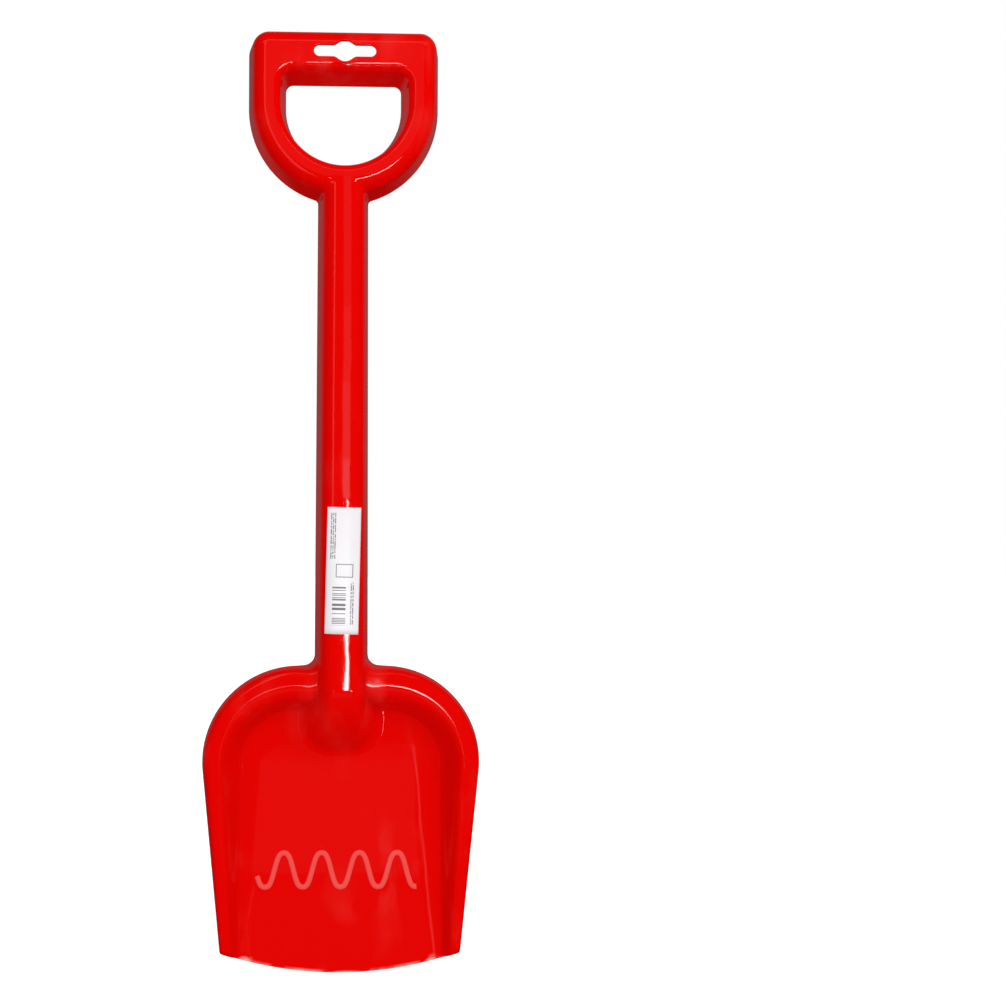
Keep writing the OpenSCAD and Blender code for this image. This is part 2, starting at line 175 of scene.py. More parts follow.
@dataclass(frozen=True)
class ShellSizes:
    """Sizes of the moulded shell in millimetres, from the middle of the hang slot and the back plane.

    The first sizes are shared, then come grip, hang slot, shaft, blade, its rim, the nose and the lip. The lip's
    band and its spots are a painted highlight that also looks like worn plastic; each spot has its place across the
    shaft, its width and its depth.
    """

    depth: float = 21.0
    wall: float = 2.0
    draft: float = math.radians(8.5)
    shoulder_r: float = 7.5
    hole_shoulder_r: float = 4.4
    grip_top: float = 13.4
    grip_corner_r: float = 11.0
    bow_mid: float = -25.6
    bow_r: float = 50.5
    hole_r: float = 30.7
    hole_top: float = -12.7
    hole_corner_r: float = 4.0
    slot_w: float = 32.5
    slot_h: float = 6.0
    slot_eye_r: float = 5.5
    slot_blend: float = 1.6
    slot_round: float = 0.45
    bow_foot: float = -76.1
    shaft_top_w: float = 26.8
    shaft_foot_w: float = 28.4
    valley_round: float = 2.0
    blade_top: float = -321.5
    blade_tip: float = -485.7
    blade_w: float = 147.0
    tip_w: float = 128.0
    blade_corner_r: float = 51.0
    lip_reach: float = 10.6
    root_r: float = 5.4
    root_zone: float = 40.0
    root_ramp: float = 5.0
    heel_zone: float = 30.0
    heel_margin: float = 1.0
    pan_h: float = 2.2
    rim_h: float = 12.3
    rim_tip_h: float = 4.5
    skirt_h: float = 8.5
    skirt_tip_h: float = 4.6
    rim_r: float = 4.2
    rim_tip_r: float = 2.0
    rim_flat: float = 3.0
    side_flat: float = 4.2
    rim_tip_flat: float = 2.2
    heel_slope: float = 17.0
    heel_bend: float = 2.0
    side_slope: float = 12.5
    side_bend: float = 1.0
    tip_slope: float = 6.2
    rim_end: float = 4.0
    rim_end_inset: float = 1.6
    thin_share: float = 0.6
    nose_start: float = 11.6
    nose_end: float = 46.0
    nose_flare: float = 7.4
    nose_bend: float = 1.9
    flare_share: float = 0.4
    nose_round_share: float = 0.4
    nose_narrow_share: float = 0.33
    nose_past: float = 1.4
    nose_r_share: float = 0.6
    flank_blend: float = 3.5
    flank_step: float = 0.3
    lip_r: float = 0.6
    # The lip's band, its three spots and their strength: a painted highlight along the lip that also looks like worn
    # plastic.
    lip_highlight_and_wear: float = 3.0
    lip_highlight_spots: tuple[tuple[float, float, float], ...] = ((-50.0, 3.6, 4.0), (3.0, 7.0, 1.1), (48.5, 2.8, 3.0))
    spot_highlight_and_wear: float = 1.6

    @property
    def corner_mid(self) -> Point:
        """Middle of the blade's upper right corner."""
        return self.blade_w / 2 - self.blade_corner_r, self.blade_top - self.blade_corner_r

    @property
    def side_end(self) -> Point:
        """Lower end of the blade's right side."""
        return self.tip_w / 2, self.blade_tip + self.lip_reach

    @property
    def side_lean(self) -> float:
        """Angle between the blade's side and the shaft."""
        return math.atan((self.blade_w - self.tip_w) / 2 / (self.corner_mid[1] - self.side_end[1]))

    @property
    def side_head(self) -> Point:
        """Upper end of the blade's right side."""
        lean, (x, y), r = self.side_lean, self.corner_mid, self.blade_corner_r
        return x + r * math.cos(lean), y - r * math.sin(lean)

    @property
    def back_edge(self) -> float:
        """Width of the shell's back edge."""
        return self.wall / math.cos(self.draft)


@dataclass
class RimSection:
    """Section of the blade's rim at a set of points.

    Attributes:
        s: Distance in from the outline.
        crown: Height of the rim's top.
        edge: Height of the skirt's lower edge.
        r: Radius of the outer round.
        flat: Width of the flat top.
        slope: Width of the slope down to the pan.
        bend: Power that moves the slope's bends inwards.
        skin: Thickness of the wall.
    """

    s: Array
    crown: Array
    edge: Array
    r: Array
    flat: Array
    slope: Array
    bend: Array
    skin: Array


class ShellForm:
    """Heights of the shell's two skins above the back plane, as functions of the place seen from the front."""

    def __init__(self, sizes: ShellSizes) -> None:
        """Keeps the sizes.

        Args:
            sizes: Sizes of the shell.
        """
        self.z = sizes
        self.cos, self.sin, self.tan = math.cos(sizes.draft), math.sin(sizes.draft), math.tan(sizes.draft)

    def reach(self, r: float | Array, height: float | Array) -> float | Array:
        """Distance from the back edge to the crown for a shoulder of radius r on a wall of that height."""
        return r * self.cos + self.tan * (height - r * (1.0 - self.sin))

    def wall_height(self, d: Array, r: float | Array, height: float | Array, inset: float) -> Array:
        """Height of a drafted wall with a round shoulder and a flat crown.

        Args:
            d: Distance in from the outer back edge.
            r: Radius of the outer shoulder.
            height: Height of the outer crown.
            inset: Depth under the outer skin.

        Returns:
            Heights at d.
        """
        reach, inner = self.reach(r, height), r - inset
        wall = (d - inset / self.cos) / self.tan
        drop = np.clip(reach - d, 0.0, None)
        bow = height - r + np.sqrt(np.clip(inner * inner - drop * drop, 0.0, None))
        return np.where(d < reach - inner * self.cos, wall, np.where(d < reach, bow, height - inset))

    def grip_inside(self, u: Array, v: Array) -> Array:
        """Distance in from the outline of the D grip.

        Args:
            u: Places across the shaft.
            v: Places along the shaft.

        Returns:
            Distances, below 0 outside.
        """
        z, x = self.z, np.abs(u)
        disc = z.bow_r - np.hypot(x, v - z.bow_mid)
        qu, qv = x - (z.bow_r - z.grip_corner_r), v - (z.grip_top - z.grip_corner_r)
        corner = z.grip_corner_r - np.hypot(qu, qv)
        box = np.where((qu > 0) & (qv > 0), corner, np.minimum(z.bow_r - x, z.grip_top - v))
        return np.where(v < z.bow_mid, disc, box)

    def hole_outside(self, u: Array, v: Array) -> Array:
        """Distance out from the edge of the hand hole.

        Args:
            u: Places across the shaft.
            v: Places along the shaft.

        Returns:
            Distances, below 0 in the hole.
        """
        z, x = self.z, np.abs(u)
        disc = np.hypot(x, v - z.bow_mid) - z.hole_r
        qu, qv = x - (z.hole_r - z.hole_corner_r), v - (z.hole_top - z.hole_corner_r)
        beyond = np.hypot(np.clip(qu, 0, None), np.clip(qv, 0, None))
        box = beyond + np.minimum(np.maximum(qu, qv), 0) - z.hole_corner_r
        return np.where(v < z.bow_mid, disc, box)

    def slot_outside(self, u: Array, v: Array) -> Array:
        """Distance out from the edge of the hang slot.

        Args:
            u: Places across the shaft.
            v: Places along the shaft.

        Returns:
            Distances, below 0 in the slot.
        """
        z, x = self.z, np.abs(u)
        arm = np.hypot(np.clip(x - (z.slot_w - z.slot_h) / 2, 0, None), v) - z.slot_h / 2
        eye = np.hypot(x, v) - z.slot_eye_r
        return -soft_max(-arm, -eye, z.slot_blend)

    def half_shaft(self, v: Array) -> Array:
        """Half the shaft's width at the back."""
        z = self.z
        return blend(z.shaft_top_w, z.shaft_foot_w, (z.bow_foot - v) / (z.bow_foot - z.blade_top)) / 2

    def nose_share(self, v: Array) -> Array:
        """Share of the nose's slope that lies above a place, which goes past 1 beyond the nose."""
        z = self.z
        return np.clip((z.blade_top - z.nose_start - v) / (z.nose_end - z.nose_start), 0.0, z.nose_past)

    def nose_narrow(self, v: Array) -> Array:
        """Share of the nose's width that is left near its rounded end.

        Args:
            v: Places along the shaft.

        Returns:
            Shares at the places.
        """
        z = self.z
        f = np.clip(self.nose_share(v) - 1.0 + z.nose_round_share, 0.0, None) / z.nose_round_share
        return 1.0 - np.minimum(f * f, 1.0) * z.nose_narrow_share

    def spine_foot(self, v: Array) -> Array:
        """Half the width at the back of shaft and nose, whose flanks flare out over the pan.

        Args:
            v: Places along the shaft.

        Returns:
            Half widths at the places.
        """
        z = self.z
        flare = z.nose_flare * ease(np.clip(self.nose_share(v) / z.flare_share, 0.0, 1.0))
        return (self.half_shaft(v) + flare) * self.nose_narrow(v)

    def spine_inside(self, u: Array, v: Array) -> Array:
        """Distance in from the back edges of shaft and nose."""
        return self.spine_foot(v) - np.abs(u)

    def spine(self, u: Array, v: Array, inset: float) -> Array:
        """Height of shaft and nose.

        Args:
            u: Places across the shaft.
            v: Places along the shaft.
            inset: Depth under the outer skin.

        Returns:
            Heights at the places.
        """
        z, x = self.z, np.abs(u)
        share = self.nose_share(v)
        crown = blend(z.depth, z.pan_h, np.minimum(share, 1.0) ** z.nose_bend)
        past = crown - blend(z.depth, z.pan_h, share ** z.nose_bend)
        r = np.minimum(crown * z.nose_r_share, z.shoulder_r)
        mid_x, mid_y = self.half_shaft(v) * self.nose_narrow(v) - self.reach(r, crown), crown - r
        way_x = self.spine_foot(v) - mid_x
        lean = np.arctan2(-mid_y, way_x) + np.arccos(np.clip(r / np.hypot(way_x, mid_y), 0.0, 1.0))
        inner = r - inset
        bend_x, bend_y = mid_x + inner * np.cos(lean), mid_y + inner * np.sin(lean)
        off = np.clip(x - mid_x, 0.0, None)
        bow = mid_y + np.sqrt(np.clip(inner * inner - off * off, 0.0, None))
        return np.where(x > bend_x, bend_y - (x - bend_x) / np.tan(lean), bow) - past

    def handle_inside(self, u: Array, v: Array) -> Array:
        """Distance in from the joined outline of grip and shaft.

        Args:
            u: Places across the shaft.
            v: Places along the shaft.

        Returns:
            Distances, below 0 outside.
        """
        z = self.z
        inner, outer = self.reach(z.hole_shoulder_r, z.depth), self.reach(z.shoulder_r, z.depth)
        crown_r = (z.hole_r + inner + z.bow_r - outer) / 2
        spine = np.where(v < z.bow_mid - crown_r, self.spine_inside(u, v), FAR_OUTSIDE)
        return soft_max(self.grip_inside(u, v), spine, z.valley_round)

    def handle(self, u: Array, v: Array, inset: float) -> Array:
        """Height of grip, shaft and nose.

        Args:
            u: Places across the shaft.
            v: Places along the shaft.
            inset: Depth under the outer skin.

        Returns:
            Heights at the places.
        """
        z = self.z
        outer = self.wall_height(self.handle_inside(u, v), z.shoulder_r, z.depth, inset)
        inner = self.wall_height(self.hole_outside(u, v), z.hole_shoulder_r, z.depth, inset)
        grip = np.where(v > z.bow_foot, np.minimum(outer, inner), outer)
        return np.where(v > z.bow_foot - z.bow_r / 2, grip, self.spine(u, v, inset))

    def lip_inside(self, u: Array, v: Array) -> Array:
        """Distance in from the curved lip.

        Args:
            u: Places across the shaft.
            v: Places along the shaft.

        Returns:
            Distances, below 0 outside.
        """
        z = self.z
        k = z.lip_reach / (z.tip_w / 2) ** 2
        return (v - z.blade_tip - k * u * u) / np.sqrt(1.0 + (2 * k * u) ** 2)

    def lip_highlight_and_wear(self, u: Array, v: Array) -> Array:
        """Painted highlight of the lip, which also looks like worn plastic: up to 1 where it is blotched, and over 1
        in three bright spots.

        Args:
            u: Places across the shaft.
            v: Places along the shaft.

        Returns:
            Painted highlight and worn look at the places.
        """
        z = self.z
        # Painted highlight along the lip edge, plus three bright spots at the corners and the middle.
        d = np.clip(self.lip_inside(u, v), 0.0, None)
        highlight_and_wear = np.clip(1.0 - d / z.lip_highlight_and_wear, 0.0, 1.0)
        for mid, width, depth in z.lip_highlight_spots:
            highlight_and_wear = highlight_and_wear + z.spot_highlight_and_wear * np.exp(-((u - mid) / width) ** 2 - (d / depth) ** 2)
        return highlight_and_wear

    def root_inside(self, u: Array, v: Array) -> Array:
        """Distance in from the round corner between the shaft and the blade's top edge.

        Args:
            u: Places across the shaft.
            v: Places along the shaft.

        Returns:
            Distances, far below 0 away from the corner.
        """
        z = self.z
        a, b = -self.spine_inside(u, v), v - z.blade_top
        near = (a < z.root_r) & (b < z.root_r) & (v > z.blade_top - z.root_zone)
        return np.where(near, np.hypot(z.root_r - a, z.root_r - b) - z.root_r, FAR_OUTSIDE)

    def rim_place(self, u: Array, v: Array) -> tuple[Array, Array, Array]:
        """Place of points relative to the blade's outline.

        Args:
            u: Places across the shaft.
            v: Places along the shaft.

        Returns:
            Distance in from the outline, share of the way round the corner, share of the way down the side.
        """
        z, lean = self.z, self.z.side_lean
        px, py = np.abs(u) - z.corner_mid[0], v - z.corner_mid[1]
        down = -math.sin(lean) * px - math.cos(lean) * py
        length = math.hypot(z.side_head[0] - z.side_end[0], z.side_head[1] - z.side_end[1])
        top = (px <= 0) & (py > 0)
        side = ~top & (down > 0)
        s = np.where(top, z.blade_corner_r - py, z.blade_corner_r - np.hypot(px, py))
        s = np.where(side, z.blade_corner_r - (math.cos(lean) * px - math.sin(lean) * py), s)
        turn = np.clip((math.pi / 2 - np.arctan2(py, px)) / (math.pi / 2 + lean), 0.0, 1.0)
        corner = np.where(top, 0.0, np.where(side, 1.0, turn))
        return s, corner, np.where(side, np.clip(down / length, 0.0, 1.0), 0.0)

    def blade_inside(self, u: Array, v: Array) -> Array:
        """Distance in from the blade's outline."""
        return self.rim_place(u, v)[0]

    def rim_section(self, u: Array, v: Array) -> RimSection:
        """Section of the rim at points.

        Args:
            u: Places across the shaft.
            v: Places along the shaft.

        Returns:
            The section at the places.
        """
        z = self.z
        s, corner, g = self.rim_place(u, v)
        s = np.maximum(s, self.root_inside(u, v))
        end = self.rim_end_share(u, v, 0.0)
        ramp = ease(np.clip((np.abs(u) - self.half_shaft(v)) / (z.root_r + z.root_ramp), 0.0, 1.0))
        ramp = np.where(v > z.blade_top - z.heel_zone, ramp, 1.0)
        crown = z.pan_h + blend(z.rim_h, z.rim_tip_h, g)
        edge = (crown - blend(z.skirt_h, z.skirt_tip_h, g)) * ramp
        r = blend(z.rim_r, z.rim_tip_r, g)
        turn = ease(corner)
        slope = np.where(g > 0, blend(z.side_slope, z.tip_slope, g), blend(z.heel_slope, z.side_slope, turn))
        skin = np.minimum(z.wall, r * z.thin_share)
        mid = z.pan_h - skin / 2
        bend = blend(z.heel_bend, z.side_bend, turn)
        flat = blend(blend(z.rim_flat, z.side_flat, turn), z.rim_tip_flat, g)
        return RimSection(s, crown, blend(mid, edge, end), r, flat, slope, bend, skin)

    def rim_inside(self, u: Array, v: Array) -> Array:
        """Distance in from the blade's outline with its root corners."""
        return self.rim_section(u, v).s

    def rim_end_share(self, u: Array, v: Array, inset: float) -> Array:
        """Share of the rim's height that is left near its rounded lower end."""
        x = 1.0 - np.clip((self.lip_inside(u, v) - inset) / self.z.rim_end, 0.0, 1.0)
        return np.sqrt(np.clip(1.0 - x * x, 0.0, None))

    def rim(self, u: Array, v: Array, skin: Skin) -> Array:
        """Height of the blade without its nose.

        Args:
            u: Places across the shaft.
            v: Places along the shaft.
            skin: Front or back skin.

        Returns:
            Heights at the places.
        """
        z, k = self.z, self.rim_section(u, v)
        reach = self.reach(k.r, k.crown - k.edge)
        s, crown, r, flat, floor = k.s, k.crown, k.r, k.flat, z.pan_h + 0.0 * k.s
        if skin is Skin.BACK:
            start = k.skin / self.cos
            s, crown, r, floor = k.s - start, k.crown - k.skin, k.r - k.skin, floor - k.skin
            inner = self.reach(r, crown - k.edge)
            flat = reach + k.flat - k.skin / 2 - start - inner
            reach = inner
        drop = np.clip(reach - s, 0.0, None)
        bow = crown - r + np.sqrt(np.clip(r * r - drop * drop, 0.0, None))
        f = np.clip((s - reach - flat) / k.slope, 0.0, 1.0)
        fall = blend(crown, floor, ease(f ** k.bend))
        h = np.where(s < reach - r * self.cos, k.edge + s / self.tan, np.where(s < reach, bow, fall))
        share = self.rim_end_share(u, v, 0.0 if skin is Skin.FRONT else z.rim_end_inset)
        return np.where(s > 0, floor + (h - floor) * share, h)

    def front(self, u: Array, v: Array) -> Array:
        """Height of the front skin.

        Args:
            u: Places across the shaft.
            v: Places along the shaft.

        Returns:
            Heights at the places.
        """
        z = self.z
        spine = self.handle(u, v, 0.0)
        low = v < z.blade_top + z.root_r + z.heel_margin
        pan = np.where(low, self.rim(u, v, Skin.FRONT), FAR_OUTSIDE)
        h = soft_max(spine, pan, z.flank_blend)
        h = h - edge_round(self.slot_outside(u, v), z.slot_round)
        return np.where(low, h - edge_round(self.lip_inside(u, v), z.lip_r), h)

    def back(self, u: Array, v: Array) -> Array:
        """Height of the back skin.

        Args:
            u: Places across the shaft.
            v: Places along the shaft.

        Returns:
            Heights at the places.
        """
        z = self.z
        hollow = self.handle(u, v, z.wall)
        low = v < z.blade_top + z.root_r + z.heel_margin
        pan = self.rim(u, v, Skin.BACK)
        d = self.spine_inside(u, v)
        floor = z.pan_h - z.wall
        wall = blend(pan, np.minimum(pan, floor), np.clip((d + z.flank_step) / z.flank_step, 0.0, 1.0))
        c = np.where(d < z.back_edge, wall, np.maximum(hollow, floor))
        c = c + edge_round(self.lip_inside(u, v), z.lip_r)
        return np.where(low, c, hollow)


class PointCloud:
    """Plan points that keep a least distance from each other."""

    def __init__(self, cell: float = 0.9) -> None:
        """Starts an empty cloud.

        Args:
            cell: Size of the search cells.
        """
        self.cell = cell
        self.cells: dict[tuple[int, int], list[Point]] = {}
        self.points: list[Point] = []

    def add(self, points: Iterable[Sequence[float]], gap: float) -> None:
        """Adds the points that lie no closer than gap to those already there.

        Args:
            points: Plan points.
            gap: Least distance.
        """
        n = math.ceil(gap / self.cell)
        for x, y in points:
            i, j = math.floor(x / self.cell), math.floor(y / self.cell)
            near = (
                q
                for a in range(i - n, i + n + 1)
                for b in range(j - n, j + n + 1)
                for q in self.cells.get((a, b), ())
            )
            if all((q[0] - x) ** 2 + (q[1] - y) ** 2 >= gap * gap for q in near):
                self.cells.setdefault((i, j), []).append((x, y))
                self.points.append((float(x), float(y)))


@dataclass
class Outline:
    """Closed outlines of the shell in plan, with their partners on the back skin."""

    outer: Array
    outer_back: Array
    hole: Array
    hole_back: Array
    slot: Array


@dataclass
class SkinMesh:
    """One skin as points, normals and triangles."""

    points: Array
    normals: Array
    faces: Array
    source: list[int]


@dataclass
class WallRing:
    """Faces between an outline of the front skin and its partner on the back skin.

    A turned ring has the plastic on the other side of its outline. The ring of the hang slot keeps its points,
    because its walls are smooth.
    """

    count: int
    partner: Array
    back_count: int
    turned: bool = False
    slot: Array | None = None


def new_object(name: str, mesh: bpy.types.Mesh) -> bpy.types.Object:
    """Puts a mesh into the scene as an object at the origin.

    Args:
        name: Name of the object.
        mesh: Its mesh.

    Returns:
        The new object.
    """
    obj = bpy.data.objects.new(name, mesh)
    bpy.context.scene.collection.objects.link(obj)
    return obj


@dataclass
class MouldedShell:
    """The red moulding in one piece: grip, shaft and blade.

    Its own sizes are distances between mesh points in millimetres, and counts of such points.
    """

    form: ShellForm
    nodes: ClassVar[tuple[str, ...]] = ("grip_bar", "grip_bow", "shaft", "blade")
    row_share: ClassVar[float] = 0.866
    straight_step: float = 2.5
    corner_step: float = 0.9
    round_step: float = 1.3
    fine_step: float = 0.5
    neck_turn: float = 0.06
    shaft_step: float = 4.0
    root_step: float = 0.7
    heel_step: float = 1.0
    side_step: float = 3.0
    hole_corner_step: float = 0.55
    hole_side_step: float = 2.0
    lip_end: float = 8.0
    lip_counts: tuple[int, int] = (12, 30)
    slot_count: int = 160
    slot_near: float = 0.45
    slot_gap: float = 0.3
    front_shoulder: int = 11
    back_shoulder: int = 8
    handle_gap: float = 0.3
    hole_gap: float = 0.28
    handle_overlap: float = 1.0
    slot_row_gap: float = 0.12
    slot_inner_rows: tuple[float, ...] = (0.12, 0.26)
    slot_outer_row: float = 1.2
    slot_back_rows: tuple[float, ...] = (0.6, 1.4)
    rim_skirt: tuple[float, ...] = (0.34, 0.67)
    rim_round: int = 9
    rim_flat: tuple[float, ...] = (0.5, 1.0)
    rim_slope: int = 13
    rim_pan: tuple[float, ...] = (1.2, 3.0)
    rim_back_shift: float = 0.6
    rim_back_edge: float = 0.25
    rim_gap: float = 0.3
    lip_inner_rows: tuple[float, ...] = (0.1, 0.25, 0.42)
    lip_outer_rows: tuple[float, ...] = (1.4, 2.6, 4.0)
    lip_side: float = 0.4
    lip_gap: float = 0.1
    on_edge: float = 0.05
    tolerance: float = 0.01
    merge: float = 1e-5
    normal_step: float = 0.03
    nose_zone: tuple[float, float, float] = (24.0, -50.0, 7.0)
    neck_zone: tuple[float, float, float] = (21.0, -90.0, -60.0)
    pan_half: float = 75.0
    crown_half: float = 51.0
    nose_step: float = 0.8
    neck_step: float = 0.7
    pan_step: float = 2.6
    crown_step: float = 3.0
    lattice_share: float = 0.8
    lattice_margin: float = 0.45
    edge_margin: float = 0.08

    @property
    def z(self) -> ShellSizes:
        """Sizes of the shell."""
        return self.form.z

    @staticmethod
    def move_to(f: Field, p: Array, level: float | Array, rounds: int = 6, least: float = 0.2) -> Array:
        """Moves points along the slope of a field until it has a value.

        Args:
            f: Field.
            p: Start points.
            level: Wanted value.
            rounds: How often the points move.
            least: Least squared slope that is reckoned with.

        Returns:
            Moved points.
        """
        p = p.copy()
        for _ in range(rounds):
            gu, gv = slopes(f, p[:, 0], p[:, 1])
            step = (level - f(p[:, 0], p[:, 1])) / np.clip(gu * gu + gv * gv, least, None)
            p += np.stack([gu * step, gv * step], axis=1)
        return p

    def on_lip(self, u: Array) -> Array:
        """Points of the lip's curve at places across the shaft."""
        z = self.z
        return np.stack([u, z.blade_tip + z.lip_reach * (u / (z.tip_w / 2)) ** 2], axis=1)

    def right_outline(self) -> tuple[Array, int, int]:
        """Right half of the outer outline, from the top of the bar to the tip.

        Returns:
            Points, and the indices at which root corner and lip start.
        """
        z, f = self.z, self.form
        half = float(f.half_shaft(np.array(z.blade_top)))
        side, top = z.bow_r - z.grip_corner_r, z.grip_top - z.grip_corner_r
        neck = math.acos(z.shaft_top_w / 2 / z.bow_r)
        neck_v = z.bow_mid - z.bow_r * math.sin(neck)
        handle = np.concatenate([
            spaced((0, z.grip_top), (side, z.grip_top), self.straight_step),
            arc((side, top), z.grip_corner_r, math.pi / 2, 0, self.corner_step),
            spaced((z.bow_r, top), (z.bow_r, z.bow_mid), self.straight_step),
            arc((0, z.bow_mid), z.bow_r, 0, -neck + self.neck_turn, self.round_step),
            arc((0, z.bow_mid), z.bow_r, -neck + self.neck_turn, -neck, self.fine_step),
            graded((z.shaft_top_w / 2, neck_v), (half, z.blade_top + z.root_r), self.fine_step, self.shaft_step),
        ])
        handle = self.move_to(f.handle_inside, handle, 0.0)
        handle[0, 0] = 0.0
        root = arc((half + z.root_r, z.blade_top + z.root_r), z.root_r, math.pi, 1.5 * math.pi, self.root_step)
        rim = np.concatenate([
            spaced((half + z.root_r, z.blade_top), (z.corner_mid[0], z.blade_top), self.heel_step),
            arc(z.corner_mid, z.blade_corner_r, math.pi / 2, -z.side_lean, self.round_step),
            graded(z.side_head, z.side_end, self.fine_step, self.side_step),
        ])
        tip, inner, (ends, middle) = z.tip_w / 2, z.tip_w / 2 - self.lip_end, self.lip_counts
        lip = self.on_lip(np.concatenate([np.linspace(tip, inner, ends), np.linspace(inner, 0, middle)[1:]]))
        return np.concatenate([handle, root, rim, lip]), len(handle), len(handle) + len(root) + len(rim)

    def hole_outline(self) -> Array:
        """Outline of the hand hole, clockwise.

        Returns:
            Its points.
        """
        z = self.z
        side, top = z.hole_r - z.hole_corner_r, z.hole_top - z.hole_corner_r
        return mirrored(np.concatenate([
            spaced((0, z.hole_top), (side, z.hole_top), self.straight_step),
            arc((side, top), z.hole_corner_r, math.pi / 2, 0, self.hole_corner_step),
            spaced((z.hole_r, top), (z.hole_r, z.bow_mid), self.hole_side_step),
            arc((0, z.bow_mid), z.hole_r, 0, -math.pi / 2, self.round_step),
            [(0.0, z.bow_mid - z.hole_r)],
        ]))

    def slot_outline(self) -> Array:
        """Outline of the hang slot, counter-clockwise: two arms with round ends, and an eye between them.

        Returns:
            Its points.
        """
        z, f = self.z, self.form
        a = np.linspace(0, 2 * math.pi, self.slot_count, endpoint=False)
        circle = np.stack([np.cos(a), np.sin(a)], axis=1)
        arm, ends = (z.slot_w - z.slot_h) / 2, circle * z.slot_h / 2
        ends[:, 0] = np.sign(ends[:, 0]) * arm + ends[:, 0]
        along = np.arange(-arm + self.fine_step, arm, self.fine_step)
        bars = [(x, s * z.slot_h / 2) for x in along for s in (-1, 1)]
        points = np.concatenate([ends, np.array(bars), circle * z.slot_eye_r])
        points = points[f.slot_outside(points[:, 0], points[:, 1]) > -self.slot_near]
        points = self.move_to(f.slot_outside, points, 0.0)
        order = np.argsort(np.arctan2(points[:, 1], points[:, 0]))
        kept = [points[order[0]]]
        for i in order[1:]:
            if np.linalg.norm(points[i] - kept[-1]) > self.slot_gap:
                kept.append(points[i])
        if np.linalg.norm(kept[0] - kept[-1]) < self.slot_gap:
            kept.pop()
        return np.array(kept)

    def outlines(self) -> Outline:
        """All outlines of the shell.

        Returns:
            The outlines.
        """
        z, f = self.z, self.form
        right, root, lip = self.right_outline()
        skin = f.rim_section(right[:, 0], right[:, 1]).skin / f.cos
        back = right.copy()
        back[:root] = self.move_to(f.handle_inside, right[:root], z.back_edge)
        back[0, 0] = 0.0
        back[root:lip] = self.move_to(f.rim_inside, right[root:lip], skin[root:lip])
        back[lip:] = self.on_lip(np.minimum(right[lip:, 0], z.tip_w / 2 - skin[lip]))
        hole = self.hole_outline()
        hole_back = self.move_to(f.hole_outside, hole, z.back_edge)
        return Outline(mirrored(right), mirrored(back), hole, hole_back, self.slot_outline())

    def shoulder_stops(self, r: float, inset: float, steps: int) -> list[float]:
        """Distances in from an edge at which a shoulder gets its points.

        Args:
            r: Radius of the outer shoulder.
            inset: Depth under the outer skin.
            steps: Count of points on the round.

        Returns:
            The distances.
        """
        f = self.form
        reach, inner, start = f.reach(r, self.z.depth), r - inset, inset / f.cos
        bend = reach - inner * f.cos
        angles = np.linspace(self.z.draft, math.pi / 2, steps)
        return [start + (bend - start) * k / 3 for k in (1, 2)] + [reach - inner * math.cos(a) for a in angles]

    def add_rim_rows(self, cloud: PointCloud, skin: Skin, edge: Array) -> None:
        """Adds points on lines that run from the rim's outline into the pan.

        Args:
            cloud: Cloud that gets the points.
            skin: Front or back skin.
            edge: Points on the outline.
        """
        f = self.form
        k = f.rim_section(edge[:, 0], edge[:, 1])
        gu, gv = slopes(f.blade_inside, edge[:, 0], edge[:, 1])
        inward = np.stack([gu, gv], axis=1) / np.hypot(gu, gv)[:, None]
        reach = f.reach(k.r, k.crown - k.edge)
        bend, top = reach - k.r * f.cos, reach + k.flat
        stops = [bend * q for q in self.rim_skirt]
        stops += [reach - k.r * math.cos(a) for a in np.linspace(self.z.draft, math.pi / 2, self.rim_round)]
        stops += [reach + k.flat * q for q in self.rim_flat]
        stops += [top + k.slope * q for q in np.linspace(0, 1, self.rim_slope)[1:]]
        stops += [top + k.slope + q for q in self.rim_pan]
        for s in stops:
            if skin is Skin.BACK:
                s = np.maximum(s + self.rim_back_shift, k.skin / f.cos + self.rim_back_edge)
            cloud.add(edge + inward * s[:, None], self.rim_gap)

    def add_lattices(self, cloud: PointCloud, skin: Skin) -> None:
        """Adds staggered points over the nose, the neck, the pan and the crowns.

        Args:
            cloud: Cloud that gets the points.
            skin: Front or back skin.
        """
        z, (nose, nose_end, nose_start) = self.z, self.nose_zone
        for half, v0, v1, step in (
            (nose, z.blade_top + nose_end, z.blade_top + nose_start, self.nose_step),
            (*self.neck_zone, self.neck_step),
            (self.pan_half, z.blade_tip, z.blade_top, self.pan_step),
            (self.crown_half, z.blade_top, z.grip_top, self.crown_step),
        ):
            n, m = int(2 * half / step), int((v1 - v0) / (step * self.row_share))
            j, i = np.mgrid[0 : m + 1, 0 : n + 1]
            u, v = -half + (i + 0.5 * (j % 2)) * step, v0 + j * step * self.row_share
            lattice = np.stack([u, v], axis=-1).reshape(-1, 2)
            cloud.add(lattice[self.inside(lattice, skin, self.lattice_margin)], step * self.lattice_share)

